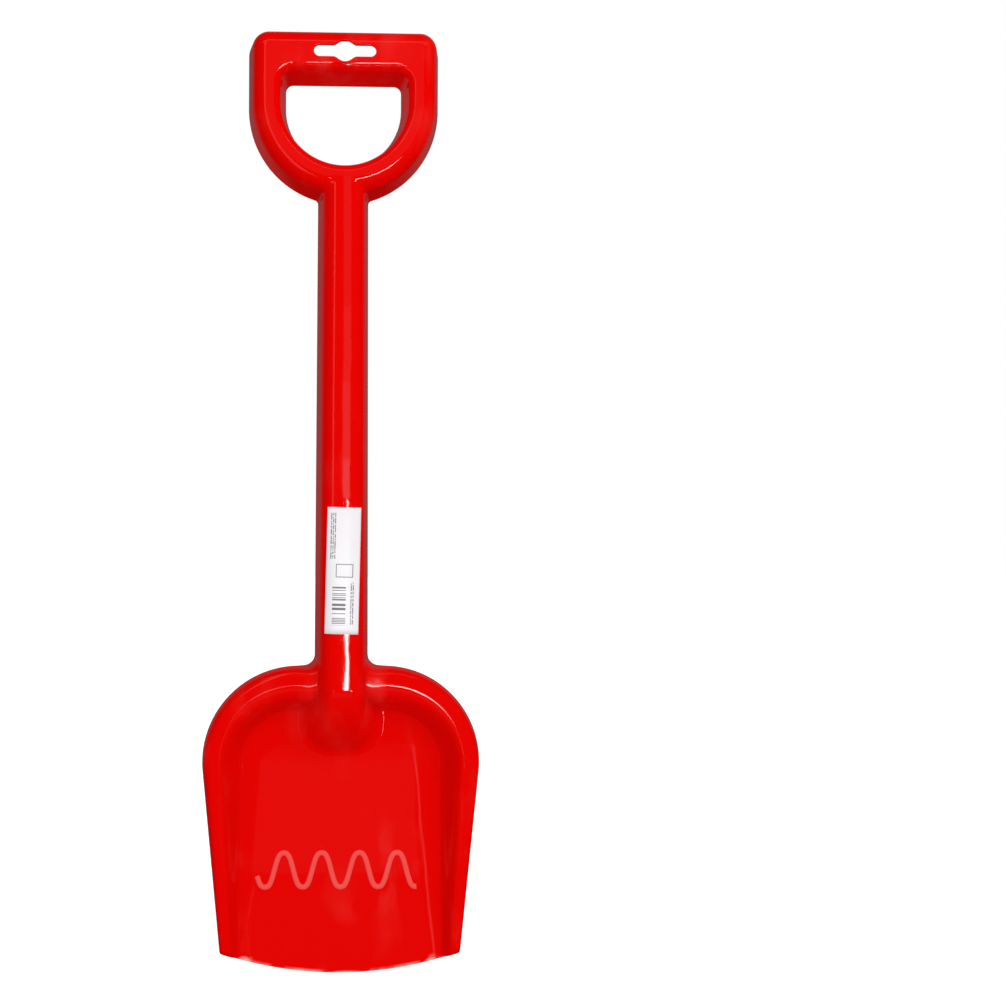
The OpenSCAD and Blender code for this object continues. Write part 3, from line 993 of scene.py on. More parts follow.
    def plan_points(self, outline: Outline, skin: Skin) -> tuple[list[Point], list[Array]]:
        """Points that a skin is drawn through.

        Args:
            outline: Outlines of the shell.
            skin: Front or back skin.

        Returns:
            Inner points, and the skin's closed outlines.
        """
        z, f = self.z, self.form
        front, p = skin is Skin.FRONT, outline.outer
        outer, hole = (p, outline.hole) if front else (outline.outer_back, outline.hole_back)
        loops = [outer[apart(outer)], hole, outline.slot]
        cloud = PointCloud()
        for loop in loops:
            cloud.add(loop, 0.0)
        fixed = len(cloud.points)
        inset, steps = (0.0, self.front_shoulder) if front else (z.wall, self.back_shoulder)
        handle_end = z.blade_top + z.root_r
        for stop in self.shoulder_stops(z.shoulder_r, inset, steps):
            row = self.move_to(f.handle_inside, p[p[:, 1] > handle_end], stop)
            cloud.add(row[row[:, 1] > handle_end - self.handle_overlap], self.handle_gap)
        for stop in self.shoulder_stops(z.hole_shoulder_r, inset, steps - 2):
            cloud.add(self.move_to(f.hole_outside, outline.hole, stop), self.hole_gap)
        slot_rows = (*self.slot_inner_rows, z.slot_round, self.slot_outer_row) if front else self.slot_back_rows
        for d in slot_rows:
            cloud.add(self.move_to(f.slot_outside, outline.slot, d), self.slot_row_gap)
        lip = f.lip_inside(p[:, 0], p[:, 1])
        self.add_rim_rows(cloud, skin, p[(p[:, 1] < z.blade_top + self.tolerance) & (lip > self.on_edge)])
        for d in (*self.lip_inner_rows, z.lip_r, *self.lip_outer_rows):
            row = self.move_to(f.lip_inside, p[np.abs(lip) < self.on_edge], d)
            cloud.add(row[f.blade_inside(row[:, 0], row[:, 1]) > self.lip_side], self.lip_gap)
        self.add_lattices(cloud, skin)
        inner = np.array(cloud.points[fixed:])
        return [tuple(q) for q in inner[self.inside(inner, skin, self.edge_margin)]], loops

    def inside(self, p: Array, skin: Skin, margin: float) -> Array:
        """Tells which points lie on a skin, at least margin in from its edges.

        Args:
            p: Points in plan.
            skin: Front or back skin.
            margin: Least distance in from the edges.

        Returns:
            True for each point that does.
        """
        z, f = self.z, self.form
        u, v = p[:, 0], p[:, 1]
        k = f.rim_section(u, v)
        edge = 0.0 if skin is Skin.FRONT else 1.0
        blade = np.minimum(k.s - edge * k.skin / f.cos, f.lip_inside(u, v))
        spine = np.where(v > z.blade_top - z.heel_zone, f.spine_inside(u, v) - edge * z.back_edge, FAR_OUTSIDE)
        handle = np.minimum(f.handle_inside(u, v), f.hole_outside(u, v)) - edge * z.back_edge
        d = np.where(v < z.blade_top + z.root_r, np.maximum(blade, spine), handle)
        return np.minimum(d, f.slot_outside(u, v)) > margin

    def skin(self, outline: Outline, skin: Skin) -> SkinMesh:
        """Builds one skin.

        Args:
            outline: Outlines of the shell.
            skin: Front or back skin.

        Returns:
            The skin's mesh, whose first points are those of its outlines.
        """
        f, front = self.form, skin is Skin.FRONT
        inner, loops = self.plan_points(outline, skin)
        points: list[Point] = []
        edges: list[tuple[int, int]] = []
        for loop in loops:
            first, n = len(points), len(loop)
            points += [tuple(q) for q in loop]
            edges += [(first + i, first + (i + 1) % n) for i in range(n)]
        points += inner
        verts, _, faces, origin, _, _ = delaunay_2d_cdt([Vector(q) for q in points], edges, [], 1, self.merge)
        p = np.array([tuple(q) for q in verts])
        tri = np.array([tuple(t) for t in faces])
        mid = p[tri].mean(axis=1)
        keep = f.hole_outside(mid[:, 0], mid[:, 1]) > (0.0 if front else self.z.back_edge)
        keep |= mid[:, 1] < self.z.bow_foot
        keep &= f.slot_outside(mid[:, 0], mid[:, 1]) > 0
        tri = tri[keep]
        field = f.front if front else f.back
        place = np.stack([p[:, 0], -field(p[:, 0], p[:, 1]), p[:, 1]], axis=1)
        n = front_normals(*slopes(field, p[:, 0], p[:, 1], self.normal_step))
        source = [-1] * len(points)
        for i, froms in enumerate(origin):
            for o in froms:
                source[o] = i
        return SkinMesh(place, n, tri, source) if front else SkinMesh(place, -n, tri[:, ::-1], source)

    @staticmethod
    def wall_rings(outline: Outline) -> list[WallRing]:
        """Rings of faces round the outside, the hand hole and the hang slot.

        The outline of the hand hole runs clockwise, as the outer one does, so its ring is turned. That of the slot
        runs counter-clockwise.

        Args:
            outline: Outlines of the shell.

        Returns:
            The rings, in the order of the skins' outlines.
        """
        kept, hole, slot = apart(outline.outer_back), len(outline.hole), len(outline.slot)
        return [
            WallRing(len(outline.outer), np.cumsum(kept) - 1, int(kept.sum())),
            WallRing(hole, np.arange(hole), hole, turned=True),
            WallRing(slot, np.arange(slot), slot, slot=outline.slot),
        ]

    def build(self, material: bpy.types.Material) -> bpy.types.Object:
        """Builds the moulding as one closed mesh with its own normals and the painted highlight of its worn-looking
        lip.

        Args:
            material: Finish of the moulding.

        Returns:
            The new object.
        """
        outline = self.outlines()
        front, back = self.skin(outline, Skin.FRONT), self.skin(outline, Skin.BACK)
        shift = len(front.points)
        points = np.concatenate([front.points, back.points])
        faces: list[tuple[int, ...]] = [tuple(t) for t in front.faces] + [tuple(t + shift) for t in back.faces]
        normals: list[tuple[float, ...]] = [tuple(front.normals[i]) for t in front.faces for i in t]
        normals += [tuple(back.normals[i]) for t in back.faces for i in t]
        first_f, first_b = 0, 0
        for ring in self.wall_rings(outline):
            for i in range(ring.count):
                j = (i + 1) % ring.count
                a, b = front.source[first_f + i], front.source[first_f + j]
                c = shift + back.source[first_b + int(ring.partner[j]) % ring.back_count]
                d = shift + back.source[first_b + int(ring.partner[i]) % ring.back_count]
                face = tuple(dict.fromkeys([b, a, d, c] if ring.turned else [a, b, c, d]))
                if len(face) < 3:
                    continue
                faces.append(face)
                if ring.slot is None:
                    normals += [(0.0, 1.0, 0.0)] * len(face)
                else:
                    gu, gv = slopes(self.form.slot_outside, *ring.slot[[i, j, j, i]].T)
                    normals += [(-x, 0.0, -y) for x, y in zip(gu, gv)]
            first_f += ring.count
            first_b += ring.back_count
        mesh = bpy.data.meshes.new("moulded_shell")
        mesh.from_pydata((points * MM).tolist(), [], faces)
        mesh.polygons.foreach_set("use_smooth", [True] * len(mesh.polygons))
        mesh.normals_split_custom_set(normals)
        # Point attribute for the lip's painted highlight, which also looks like worn plastic.
        highlight_and_wear = self.form.lip_highlight_and_wear(points[:, 0], points[:, 2])
        mesh.attributes.new("lip_highlight_and_wear", "FLOAT", "POINT").data.foreach_set("value", highlight_and_wear.astype(np.float32))
        mesh.materials.append(material)
        return new_object("moulded_shell", mesh)


def prism(name: str, outline: Sequence[Point], low: float, high: float) -> bpy.types.Mesh:
    """Closed plate with an outline in x and y, in millimetres.

    Args:
        name: Name of the mesh.
        outline: Outline in counter-clockwise order.
        low: Lower end along z.
        high: Upper end along z.

    Returns:
        The mesh.
    """
    n = len(outline)
    points = [(x * MM, y * MM, z * MM) for z in (low, high) for x, y in outline]
    faces = [tuple(range(n))[::-1], tuple(range(n, 2 * n))]
    faces += [(i, (i + 1) % n, n + (i + 1) % n, n + i) for i in range(n)]
    mesh = bpy.data.meshes.new(name)
    mesh.from_pydata(points, [], faces)
    return mesh


class NodeGraph:
    """A node tree of any kind that is filled in short calls."""

    prefix = "ShaderNode"

    def __init__(self, tree: bpy.types.NodeTree) -> None:
        """Keeps an emptied tree.

        Args:
            tree: Tree to fill.
        """
        self.tree = tree
        tree.nodes.clear()

    def add(self, kind: str, links: dict[str | int, object] | None = None, **settings: object) -> bpy.types.Node:
        """Adds a node.

        Args:
            kind: Node type, without the prefix of this kind of tree.
            links: Sockets or values for the node's inputs.
            settings: Properties of the node.

        Returns:
            The node.
        """
        whole = kind.startswith(("ShaderNode", "NodeGroup"))
        node = self.tree.nodes.new(kind if whole else self.prefix + kind)
        for key, value in settings.items():
            setattr(node, key, value)
        for key, value in (links or {}).items():
            if isinstance(value, bpy.types.NodeSocket):
                self.tree.links.new(value, node.inputs[key])
            else:
                node.inputs[key].default_value = value
        return node

    def math(self, operation: str, a: object, b: object = 0.0) -> bpy.types.NodeSocket:
        """Adds a math node and returns its result."""
        return self.add("ShaderNodeMath", {0: a, 1: b}, operation=operation).outputs[0]

    def plus(self, a: object, b: object) -> bpy.types.NodeSocket:
        """Sum of two values."""
        return self.math("ADD", a, b)

    def minus(self, a: object, b: object) -> bpy.types.NodeSocket:
        """Difference of two values."""
        return self.math("SUBTRACT", a, b)

    def times(self, a: object, b: object) -> bpy.types.NodeSocket:
        """Product of two values."""
        return self.math("MULTIPLY", a, b)

    def over(self, a: object, b: object) -> bpy.types.NodeSocket:
        """Quotient of two values."""
        return self.math("DIVIDE", a, b)

    def greater(self, a: object, b: object) -> bpy.types.NodeSocket:
        """Greater of two values."""
        return self.math("MAXIMUM", a, b)


class GeometryTree(NodeGraph):
    """A Geometry Nodes tree with named sizes."""

    prefix = "GeometryNode"

    def __init__(self, name: str) -> None:
        """Starts a tree with a geometry output.

        Args:
            name: Name of the tree.
        """
        super().__init__(bpy.data.node_groups.new(name, "GeometryNodeTree"))
        for way in ("INPUT", "OUTPUT"):
            self.tree.interface.new_socket("Geometry", in_out=way, socket_type="NodeSocketGeometry")
        self.source, self.sink = self.add("NodeGroupInput"), self.add("NodeGroupOutput")

    def size(self, name: str, kind: str = "Float") -> bpy.types.NodeSocket:
        """Adds a named input and returns its socket inside the tree."""
        self.tree.interface.new_socket(name, in_out="INPUT", socket_type=f"NodeSocket{kind}")
        return self.source.outputs[name]

    def index(self) -> bpy.types.NodeSocket:
        """Number of a point."""
        return self.add("InputIndex").outputs[0]

    def place(self) -> bpy.types.NodeOutputs:
        """Coordinates of a point, one by one."""
        return self.add("ShaderNodeSeparateXYZ", {0: self.add("InputPosition").outputs[0]}).outputs

    def vector(self, **parts: object) -> bpy.types.NodeSocket:
        """Vector from its parts X, Y and Z."""
        return self.add("ShaderNodeCombineXYZ", parts).outputs[0]

    def finish(self, geometry: bpy.types.NodeSocket) -> None:
        """Ends the tree in plain geometry with its material.

        Args:
            geometry: What the tree has made.
        """
        real = self.add("RealizeInstances", {"Geometry": geometry})
        material = self.size("Material", "Material")
        dressed = self.add("SetMaterial", {"Geometry": real.outputs[0], "Material": material})
        self.tree.links.new(dressed.outputs[0], self.sink.inputs["Geometry"])

    def apply(self, obj: bpy.types.Object, sizes: dict[str, object]) -> None:
        """Runs the tree on an object and keeps the result as a plain mesh.

        Args:
            obj: Object whose mesh goes in.
            sizes: Values of the named inputs.
        """
        modifier = obj.modifiers.new(self.tree.name, "NODES")
        modifier.node_group = self.tree
        for item in self.tree.interface.items_tree:
            if item.in_out == "INPUT" and item.name in sizes:
                modifier[item.identifier] = sizes[item.name]
        view = bpy.context.evaluated_depsgraph_get()
        mesh = bpy.data.meshes.new_from_object(obj.evaluated_get(view))
        obj.modifiers.remove(modifier)
        old, obj.data = obj.data, mesh
        bpy.data.meshes.remove(old)


@dataclass
class CrossWebs:
    """Thin webs across the open back of shaft and bow."""

    form: ShellForm
    thickness: float = 1.6
    recess: float = 4.0
    sink: float = 0.9
    shoulder_points: int = 7
    count: int = 5
    head: float = -81.5
    foot: float = -314.1
    fan_count: int = 2
    fan_start: float = math.radians(-5.0)
    fan_step: float = math.radians(-45.0)

    def channel(self, half: float, r: float) -> list[Point]:
        """Outline of a web from the middle of its member out to one wall.

        Args:
            half: Distance from the middle to the member's edge.
            r: Radius of the wall's outer shoulder.

        Returns:
            Points as distance from the middle and height.
        """
        z, f = self.form.z, self.form
        inset = z.wall - self.sink
        reach, inner = f.reach(r, z.depth), r - inset
        points = [(half - inset / f.cos - self.recess * f.tan, self.recess)]
        for a in np.linspace(z.draft, math.pi / 2, self.shoulder_points):
            points.append((half - reach + inner * math.cos(a), z.depth - r + inner * math.sin(a)))
        return points

    def plate(self, name: str, wing: list[Point], other: list[Point]) -> bpy.types.Mesh:
        """One web from the outlines of its two wings."""
        outline = [(x, -h) for x, h in wing[::-1]] + [(x, -h) for x, h in other]
        return prism(name, outline[::-1], -self.thickness / 2, self.thickness / 2)

    def row_tree(self) -> GeometryTree:
        """Tree that repeats a web along a straight line.

        Returns:
            The tree.
        """
        t = GeometryTree("web_row")
        line = t.add("MeshLine", {
            "Count": t.size("Count", "Int"),
            "Start Location": t.size("First", "Vector"),
            "Offset": t.size("Step", "Vector"),
        })
        webs = t.add("InstanceOnPoints", {"Points": line.outputs[0], "Instance": t.source.outputs["Geometry"]})
        t.finish(webs.outputs[0])
        return t

    def fan_tree(self) -> GeometryTree:
        """Tree that repeats a web round the middle of the bow.

        Returns:
            The tree.
        """
        t = GeometryTree("web_fan")
        line = t.add("MeshLine", {
            "Count": t.size("Count", "Int"),
            "Start Location": t.size("Middle", "Vector"),
            "Offset": (0.0, 0.0, 0.0),
        })
        angle = t.plus(t.times(t.index(), t.size("Angle step")), t.size("First angle"))
        webs = t.add("InstanceOnPoints", {
            "Points": line.outputs[0],
            "Instance": t.source.outputs["Geometry"],
            "Rotation": t.vector(Y=t.times(angle, -1.0)),
        })
        t.finish(webs.outputs[0])
        return t

    def build(self, material: bpy.types.Material) -> list[tuple[bpy.types.Object, str]]:
        """Builds all webs.

        Args:
            material: Finish of the webs.

        Returns:
            Objects and the nodes that they stand for.
        """
        z = self.form.z
        wing = self.channel(float(self.form.half_shaft(np.array((self.head + self.foot) / 2))), z.shoulder_r)
        row = new_object("shaft_web_row", self.plate("shaft_web", wing, [(-x, h) for x, h in wing]))
        pitch = (self.head - self.foot) / (self.count + 1)
        self.row_tree().apply(row, {
            "Count": self.count,
            "First": (0.0, 0.0, (self.foot + pitch) * MM),
            "Step": (0.0, 0.0, pitch * MM),
            "Material": material,
        })
        found = [(row, "shaft_webs")]
        out = self.channel(z.bow_r, z.shoulder_r)
        into = [(2 * z.hole_r - x, h) for x, h in self.channel(z.hole_r, z.hole_shoulder_r)]
        tree = self.fan_tree()
        for name, first, step in (
            ("right_bow_webs", self.fan_start, self.fan_step),
            ("left_bow_webs", -math.pi - self.fan_start, -self.fan_step),
        ):
            fan = new_object(name, self.plate(name, out, into))
            tree.apply(fan, {
                "Count": self.fan_count,
                "Middle": (0.0, 0.0, z.bow_mid * MM),
                "First angle": first,
                "Angle step": step,
                "Material": material,
            })
            found.append((fan, "grip_webs"))
        return found


@dataclass
class WaveBead:
    """Raised wavy line across the pan."""

    pan_h: float
    middle: float = -430.8
    height: float = 18.2
    pitch: float = 20.1
    start: float = -44.4
    end: float = 40.6
    square: float = 0.08
    flank: float = 0.72
    width: float = 2.9
    rise: float = 0.6
    end_taper: float = 90.0
    end_least: float = 0.04
    steps: int = 480
    ring_points: int = 14

    def tree(self) -> GeometryTree:
        """Tree that sweeps a flattened round along the wave, thinner on its flanks and at its ends.

        Returns:
            The tree.
        """
        t = GeometryTree("wave_bead")
        steps = t.size("Steps", "Int")
        start, end, pitch, height, square = (t.size(s) for s in ("Start", "End", "Pitch", "Height", "Square"))
        middle, floor, width, rise, flank = (t.size(s) for s in ("Middle", "Floor", "Width", "Rise", "Flank"))
        line = t.add("MeshLine", {"Count": steps, "Offset": (MM, 0.0, 0.0)})
        x = t.plus(start, t.times(t.over(t.index(), t.minus(steps, 1.0)), t.minus(end, start)))
        turn = t.over(t.times(x, 2.0 * math.pi), pitch)
        third = t.times(t.math("COSINE", t.times(turn, 3.0)), square)
        swing = t.over(t.minus(t.math("COSINE", turn), third), t.minus(1.0, square))
        z = t.minus(middle, t.times(swing, t.times(height, 0.5)))
        moved = t.add("SetPosition", {
            "Geometry": line.outputs[0], "Position": t.vector(X=x, Y=t.times(floor, -1.0), Z=z),
        })
        path = t.add("MeshToCurve", {"Mesh": moved.outputs[0]})
        share = t.add("SplineParameter").outputs["Factor"]
        near = t.times(t.math("MINIMUM", share, t.minus(1.0, share)), self.end_taper)
        full = t.math("SQRT", t.math("MINIMUM", t.plus(near, self.end_least), 1.0))
        wave = t.math("COSINE", t.over(t.times(t.place()[0], 2.0 * math.pi), pitch))
        thick = t.plus(flank, t.times(t.math("ABSOLUTE", wave), t.minus(1.0, flank)))
        sized = t.add("SetCurveRadius", {"Curve": path.outputs[0], "Radius": t.times(full, thick)})
        ring = t.add("CurvePrimitiveCircle", {"Resolution": self.ring_points, "Radius": t.times(width, 0.5)})
        tube = t.add("CurveToMesh", {
            "Curve": sized.outputs[0], "Profile Curve": ring.outputs[0], "Fill Caps": True,
        })
        at = t.place()
        flat = t.over(t.times(rise, 2.0), width)
        y = t.minus(t.times(t.plus(at[1], floor), flat), floor)
        low = t.add("SetPosition", {"Geometry": tube.outputs[0], "Position": t.vector(X=at[0], Y=y, Z=at[2])})
        smooth = t.add("SetShadeSmooth", {"Geometry": low.outputs[0], "Shade Smooth": True})
        t.finish(smooth.outputs[0])
        return t

    def build(self, material: bpy.types.Material) -> bpy.types.Object:
        """Builds the bead.

        Args:
            material: Finish of the bead.

        Returns:
            The new object.
        """
        bead = new_object("wave_line", bpy.data.meshes.new("wave_line"))
        lengths = {
            "Start": self.start, "End": self.end, "Pitch": self.pitch, "Height": self.height, "Middle": self.middle,
            "Floor": self.pan_h, "Width": self.width, "Rise": self.rise,
        }
        self.tree().apply(bead, {
            **{name: length * MM for name, length in lengths.items()},
            "Steps": self.steps, "Square": self.square, "Flank": self.flank, "Material": material,
        })
        return bead


@dataclass
class PaperLabel:
    """Paper label wrapped over the crown of the shaft."""

    form: ShellForm
    width: float = 17.4
    length: float = 66.0
    middle: float = -270.5
    tilt: float = math.radians(1.2)
    thickness: float = 0.2
    glue: float = 0.01
    slope_step: float = 0.05
    across: int = 36
    along: int = 24

    def build(self, material: bpy.types.Material) -> bpy.types.Object:
        """Builds the label with its print laid out in millimetres.

        Args:
            material: Finish of the label.

        Returns:
            The new object.
        """
        f, w = self.form, self.across + 1
        p, q = np.meshgrid(np.linspace(0, 1, w), np.linspace(0, 1, self.along + 1))
        a, b = (p.ravel() - 0.5) * self.width, (q.ravel() - 0.5) * self.length
        u = a * math.cos(self.tilt) + b * math.sin(self.tilt)
        v = self.middle - a * math.sin(self.tilt) + b * math.cos(self.tilt)
        n = front_normals(*slopes(f.front, u, v, self.slope_step))
        base, count = np.stack([u, -f.front(u, v), v], axis=1), len(u)
        points = np.concatenate([base + n * self.thickness, base + n * self.glue])
        cells = [
            (j * w + i, j * w + i + 1, (j + 1) * w + i + 1, (j + 1) * w + i)
            for j in range(self.along)
            for i in range(self.across)
        ]
        ring = list(range(w)) + [j * w + self.across for j in range(1, self.along + 1)]
        ring += [self.along * w + i for i in range(self.across - 1, -1, -1)]
        ring += [j * w for j in range(self.along - 1, 0, -1)]
        faces = cells + [tuple(count + k for k in c[::-1]) for c in cells]
        faces += [(k, count + k, count + m, m) for k, m in zip(ring, ring[1:] + ring[:1])]
        mesh = bpy.data.meshes.new("paper_label")
        mesh.from_pydata((points * MM).tolist(), [], faces)
        mesh.polygons.foreach_set("use_smooth", [i < len(cells) for i in range(len(faces))])
        layout = np.concatenate([np.stack([a, b], axis=1)] * 2) + (self.width / 2, self.length / 2)
        uv = mesh.uv_layers.new(name="print_mm")
        uv.data.foreach_set("uv", layout[[loop.vertex_index for loop in mesh.loops]].ravel())
        mesh.materials.append(material)
        return new_object("paper_label", mesh)


class ShaderTree(NodeGraph):
    """Nodes of a material, a shader group or the world."""

    def ramp(
        self, value: bpy.types.NodeSocket, low: float, high: float, a: float = 0.0, b: float = 1.0
    ) -> bpy.types.NodeSocket:
        """Maps a value from the range low to high onto a to b."""
        ends = {"From Min": low, "From Max": high, "To Min": a, "To Max": b}
        return self.add("MapRange", {"Value": value, **ends}).outputs[0]

    def place(self) -> bpy.types.NodeSocket:
        """Place of a point in the object's own frame."""
        return self.add("TexCoord").outputs["Object"]

    def noise(
        self, place: bpy.types.NodeSocket, scale: float, detail: float, roughness: float = 0.5
    ) -> bpy.types.NodeSocket:
        """Noise of that scale, in which finer and finer noise is mixed."""
        links = {"Vector": place, "Scale": scale, "Detail": detail, "Roughness": roughness}
        return self.add("TexNoise", links).outputs[0]

    def mix(self, share: object, a: object, b: object) -> bpy.types.NodeSocket:
        """Colour at a share of the way from the colour a to b."""
        ends = [c if isinstance(c, bpy.types.NodeSocket) else (*c, 1.0) for c in (a, b)]
        return self.add("Mix", {0: share, 6: ends[0], 7: ends[1]}, data_type="RGBA").outputs[2]

    def seen(self) -> bpy.types.NodeSocket:
        """1 for what the camera sees, straight or through something clear."""
        rays = self.add("LightPath").outputs
        return self.greater(rays["Is Camera Ray"], rays["Is Transmission Ray"])


def new_material(name: str, color: Color = (1.0, 1.0, 1.0)) -> tuple[bpy.types.Material, ShaderTree]:
    """Material with an empty tree, shown in a plain colour while modelling.

    Args:
        name: Name of the material.
        color: The plain colour.

    Returns:
        The material and its tree.
    """
    mat = bpy.data.materials.new(name)
    mat.use_nodes = True
    mat.diffuse_color = (*color, 1.0)
    return mat, ShaderTree(mat.node_tree)


class Handling:
    """Shared shader group: soft waves of the mould, dull scuffs and fine dust specks."""

    group: bpy.types.NodeTree | None = None

    @classmethod
    def tree(cls) -> bpy.types.NodeTree:
        """Group with its scuff amount as input, and waves, scuffs and specks as outputs.

        Returns:
            The group, which is built once.
        """
        if cls.group is not None:
            return cls.group
        tree = bpy.data.node_groups.new("handling_marks", "ShaderNodeTree")
        tree.interface.new_socket("Amount", in_out="INPUT", socket_type="NodeSocketFloat")
        for name in ("Waves", "Scuffs", "Specks"):
            tree.interface.new_socket(name, in_out="OUTPUT", socket_type="NodeSocketFloat")
        t = ShaderTree(tree)
        amount = t.add("NodeGroupInput").outputs["Amount"]
        place = t.place()
        long = t.add("Mapping", {"Vector": place, "Scale": (1.0, 1.0, 0.35)}).outputs[0]
        wiped = t.ramp(t.noise(long, scale=55.0, detail=4.0, roughness=0.6), 0.48, 0.72)
        rubbed = t.times(wiped, t.ramp(t.noise(place, scale=16.0, detail=2.0), 0.46, 0.66))
        dots = t.add("TexVoronoi", {"Vector": place, "Scale": 260.0}).outputs["Distance"]
        rare = t.ramp(t.noise(place, scale=90.0, detail=1.0), 0.66, 0.7)
        few = t.times(t.ramp(dots, 0.05, 0.09, 1.0, 0.0), rare)
        t.add("NodeGroupOutput", {
            "Waves": t.noise(place, scale=38.0, detail=1.0, roughness=0.4),
            "Scuffs": t.times(rubbed, amount),
            "Specks": t.times(few, amount),
        })
        cls.group = tree
        return tree


@dataclass(frozen=True)
class PlasticFinish:
    """Glossy or frosted moulded plastic, rubbed by handling, with a painted highlight along a lip that also looks
    worn and chip-marked.
    """

    name: str
    color: Color
    rubbed: Color
    roughness: float
    rubbed_roughness: float
    specular: float
    scuffs: float
    # Pale pink of the lip's painted highlight, which also looks like chip marks.
    highlight_and_chip_tone: Color = (0.95, 0.5, 0.45)
    highlight_and_chip_scale: float = 42.0
    waves: float = 0.05
    wave_depth: float = 0.0004

    def material(self) -> bpy.types.Material:
        """Builds the material.

        Returns:
            The material.
        """
        mat, t = new_material(self.name, self.color)
        marks = t.add("Group", {"Amount": self.scuffs}, node_tree=Handling.tree()).outputs
        tone = t.mix(t.greater(marks["Scuffs"], marks["Specks"]), self.color, self.rubbed)
        # Painted highlight along the lip and in three bright spots, which also looks like worn plastic: pale pink
        # mixed into the base colour.
        highlight_and_wear = t.add("Attribute", attribute_name="lip_highlight_and_wear").outputs["Fac"]
        highlight_and_chip_noise = t.ramp(t.noise(t.place(), self.highlight_and_chip_scale, detail=3.0), 0.5, 0.62)
        blotchy_highlight_and_chip_marks = t.times(t.ramp(highlight_and_wear, 0.4, 0.9, 0.0, 0.8), highlight_and_chip_noise)
        lip_highlight_and_chip_marks = t.greater(blotchy_highlight_and_chip_marks, t.ramp(highlight_and_wear, 1.05, 2.3, 0.0, 0.9))
        bump = t.add("Bump", {"Height": marks["Waves"], "Strength": self.waves, "Distance": self.wave_depth})
        skin = t.add("BsdfPrincipled", {
            "Base Color": t.mix(lip_highlight_and_chip_marks, tone, self.highlight_and_chip_tone),
            "Roughness": t.ramp(marks["Scuffs"], 0.0, 1.0, self.roughness, self.rubbed_roughness),
            "Normal": bump.outputs[0],
            "Specular IOR Level": self.specular,
        })
        t.add("OutputMaterial", {"Surface": skin.outputs[0]})
        return mat


@dataclass(frozen=True)
class PaperFinish:
    """Coated white paper with plain grey rules, bars and an empty box.

    The places of the print are rectangles as x0, y0, x1, y1 in millimetres.
    """

    name: str
    color: Color
    ink: Color
    roughness: float
    ink_share: float = 0.85
    specular: float = 0.5
    grain_scale: float = 2400.0
    grain_depth: float = 0.0002
    grain_bump: float = 0.04
    grain_gloss: float = 0.05
    rules: tuple[tuple[float, ...], ...] = ((2.0, 39.0, 5.0, 63.0), (13.0, 5.0, 15.0, 27.0))
    box: tuple[float, ...] = (5.0, 29.5, 14.0, 36.5)
    box_line: float = 0.4
    bars: tuple[float, ...] = (3.5, 4.5, 10.5, 25.5)
    bars_per_mm: float = 2.4
    bar_share: float = 0.5
    line_share: float = 0.5
    line_offset: float = 37.0
    word_scale: float = 1.1
    word_least: float = 0.44

    @staticmethod
    def block(t: ShaderTree, u: object, v: object, box: Sequence[float]) -> bpy.types.NodeSocket:
        """Mask of a rectangle.

        Args:
            t: Tree of the material.
            u: Place across the label.
            v: Place along the label.
            box: Rectangle as x0, y0, x1, y1.

        Returns:
            The mask.
        """
        x0, y0, x1, y1 = box
        across = t.times(t.math("GREATER_THAN", u, x0), t.math("LESS_THAN", u, x1))
        along = t.times(t.math("GREATER_THAN", v, y0), t.math("LESS_THAN", v, y1))
        return t.times(across, along)

    def printed(self, t: ShaderTree) -> bpy.types.NodeSocket:
        """Mask of the whole print.

        Args:
            t: Tree of the material.

        Returns:
            The mask.
        """
        u, v = t.add("SeparateXYZ", {0: t.add("UVMap", uv_map="print_mm").outputs[0]}).outputs[:2]
        along = t.plus(v, t.times(t.math("FLOOR", u), self.line_offset))
        links = {"W": along, "Scale": self.word_scale, "Detail": 2.0}
        words = t.math("GREATER_THAN", t.add("TexNoise", links, noise_dimensions="1D").outputs[0], self.word_least)
        lines = t.times(t.math("LESS_THAN", t.math("FRACT", u), self.line_share), words)
        text = t.times(lines, t.greater(*(self.block(t, u, v, rule) for rule in self.rules)))
        inner = [c + self.box_line * way for c, way in zip(self.box, (1, 1, -1, -1))]
        frame_line = t.minus(self.block(t, u, v, self.box), self.block(t, u, v, inner))
        step = {"W": t.math("FLOOR", t.times(v, self.bars_per_mm))}
        chance = t.add("TexWhiteNoise", step, noise_dimensions="1D").outputs[0]
        stripes = t.times(t.math("GREATER_THAN", chance, self.bar_share), self.block(t, u, v, self.bars))
        return t.greater(t.greater(text, frame_line), stripes)

    def material(self) -> bpy.types.Material:
        """Builds the material.

        Returns:
            The material.
        """
        mat, t = new_material(self.name, self.color)
        grain = t.noise(t.place(), self.grain_scale, detail=3.0)
        bump = t.add("Bump", {"Height": grain, "Strength": self.grain_bump, "Distance": self.grain_depth})
        skin = t.add("BsdfPrincipled", {
            "Base Color": t.mix(t.times(self.printed(t), self.ink_share), self.color, self.ink),
            "Roughness": t.ramp(grain, 0.3, 0.7, *(self.roughness + self.grain_gloss * way for way in (-1, 1))),
            "Normal": bump.outputs[0],
            "Specular IOR Level": self.specular,
        })
        t.add("OutputMaterial", {"Surface": skin.outputs[0]})
        return mat


@dataclass(frozen=True)
class Panel:
    """A soft light panel that looks at a point and only shades."""

    name: str
    place: tuple[float, float, float]
    target: tuple[float, float, float]
    size: tuple[float, float]
    power: float

    def build(self) -> None:
        """Puts the panel into the scene."""
        light = bpy.data.lights.new(self.name, "AREA")
        light.shape = "RECTANGLE"
        light.size, light.size_y = self.size
        light.energy = self.power
        obj = bpy.data.objects.new(self.name, light)
        obj.location = self.place
        look = Vector(self.target) - Vector(self.place)
        obj.rotation_euler = look.to_track_quat("-Z", "Y").to_euler()
        obj.visible_glossy = False
        bpy.context.scene.collection.objects.link(obj)


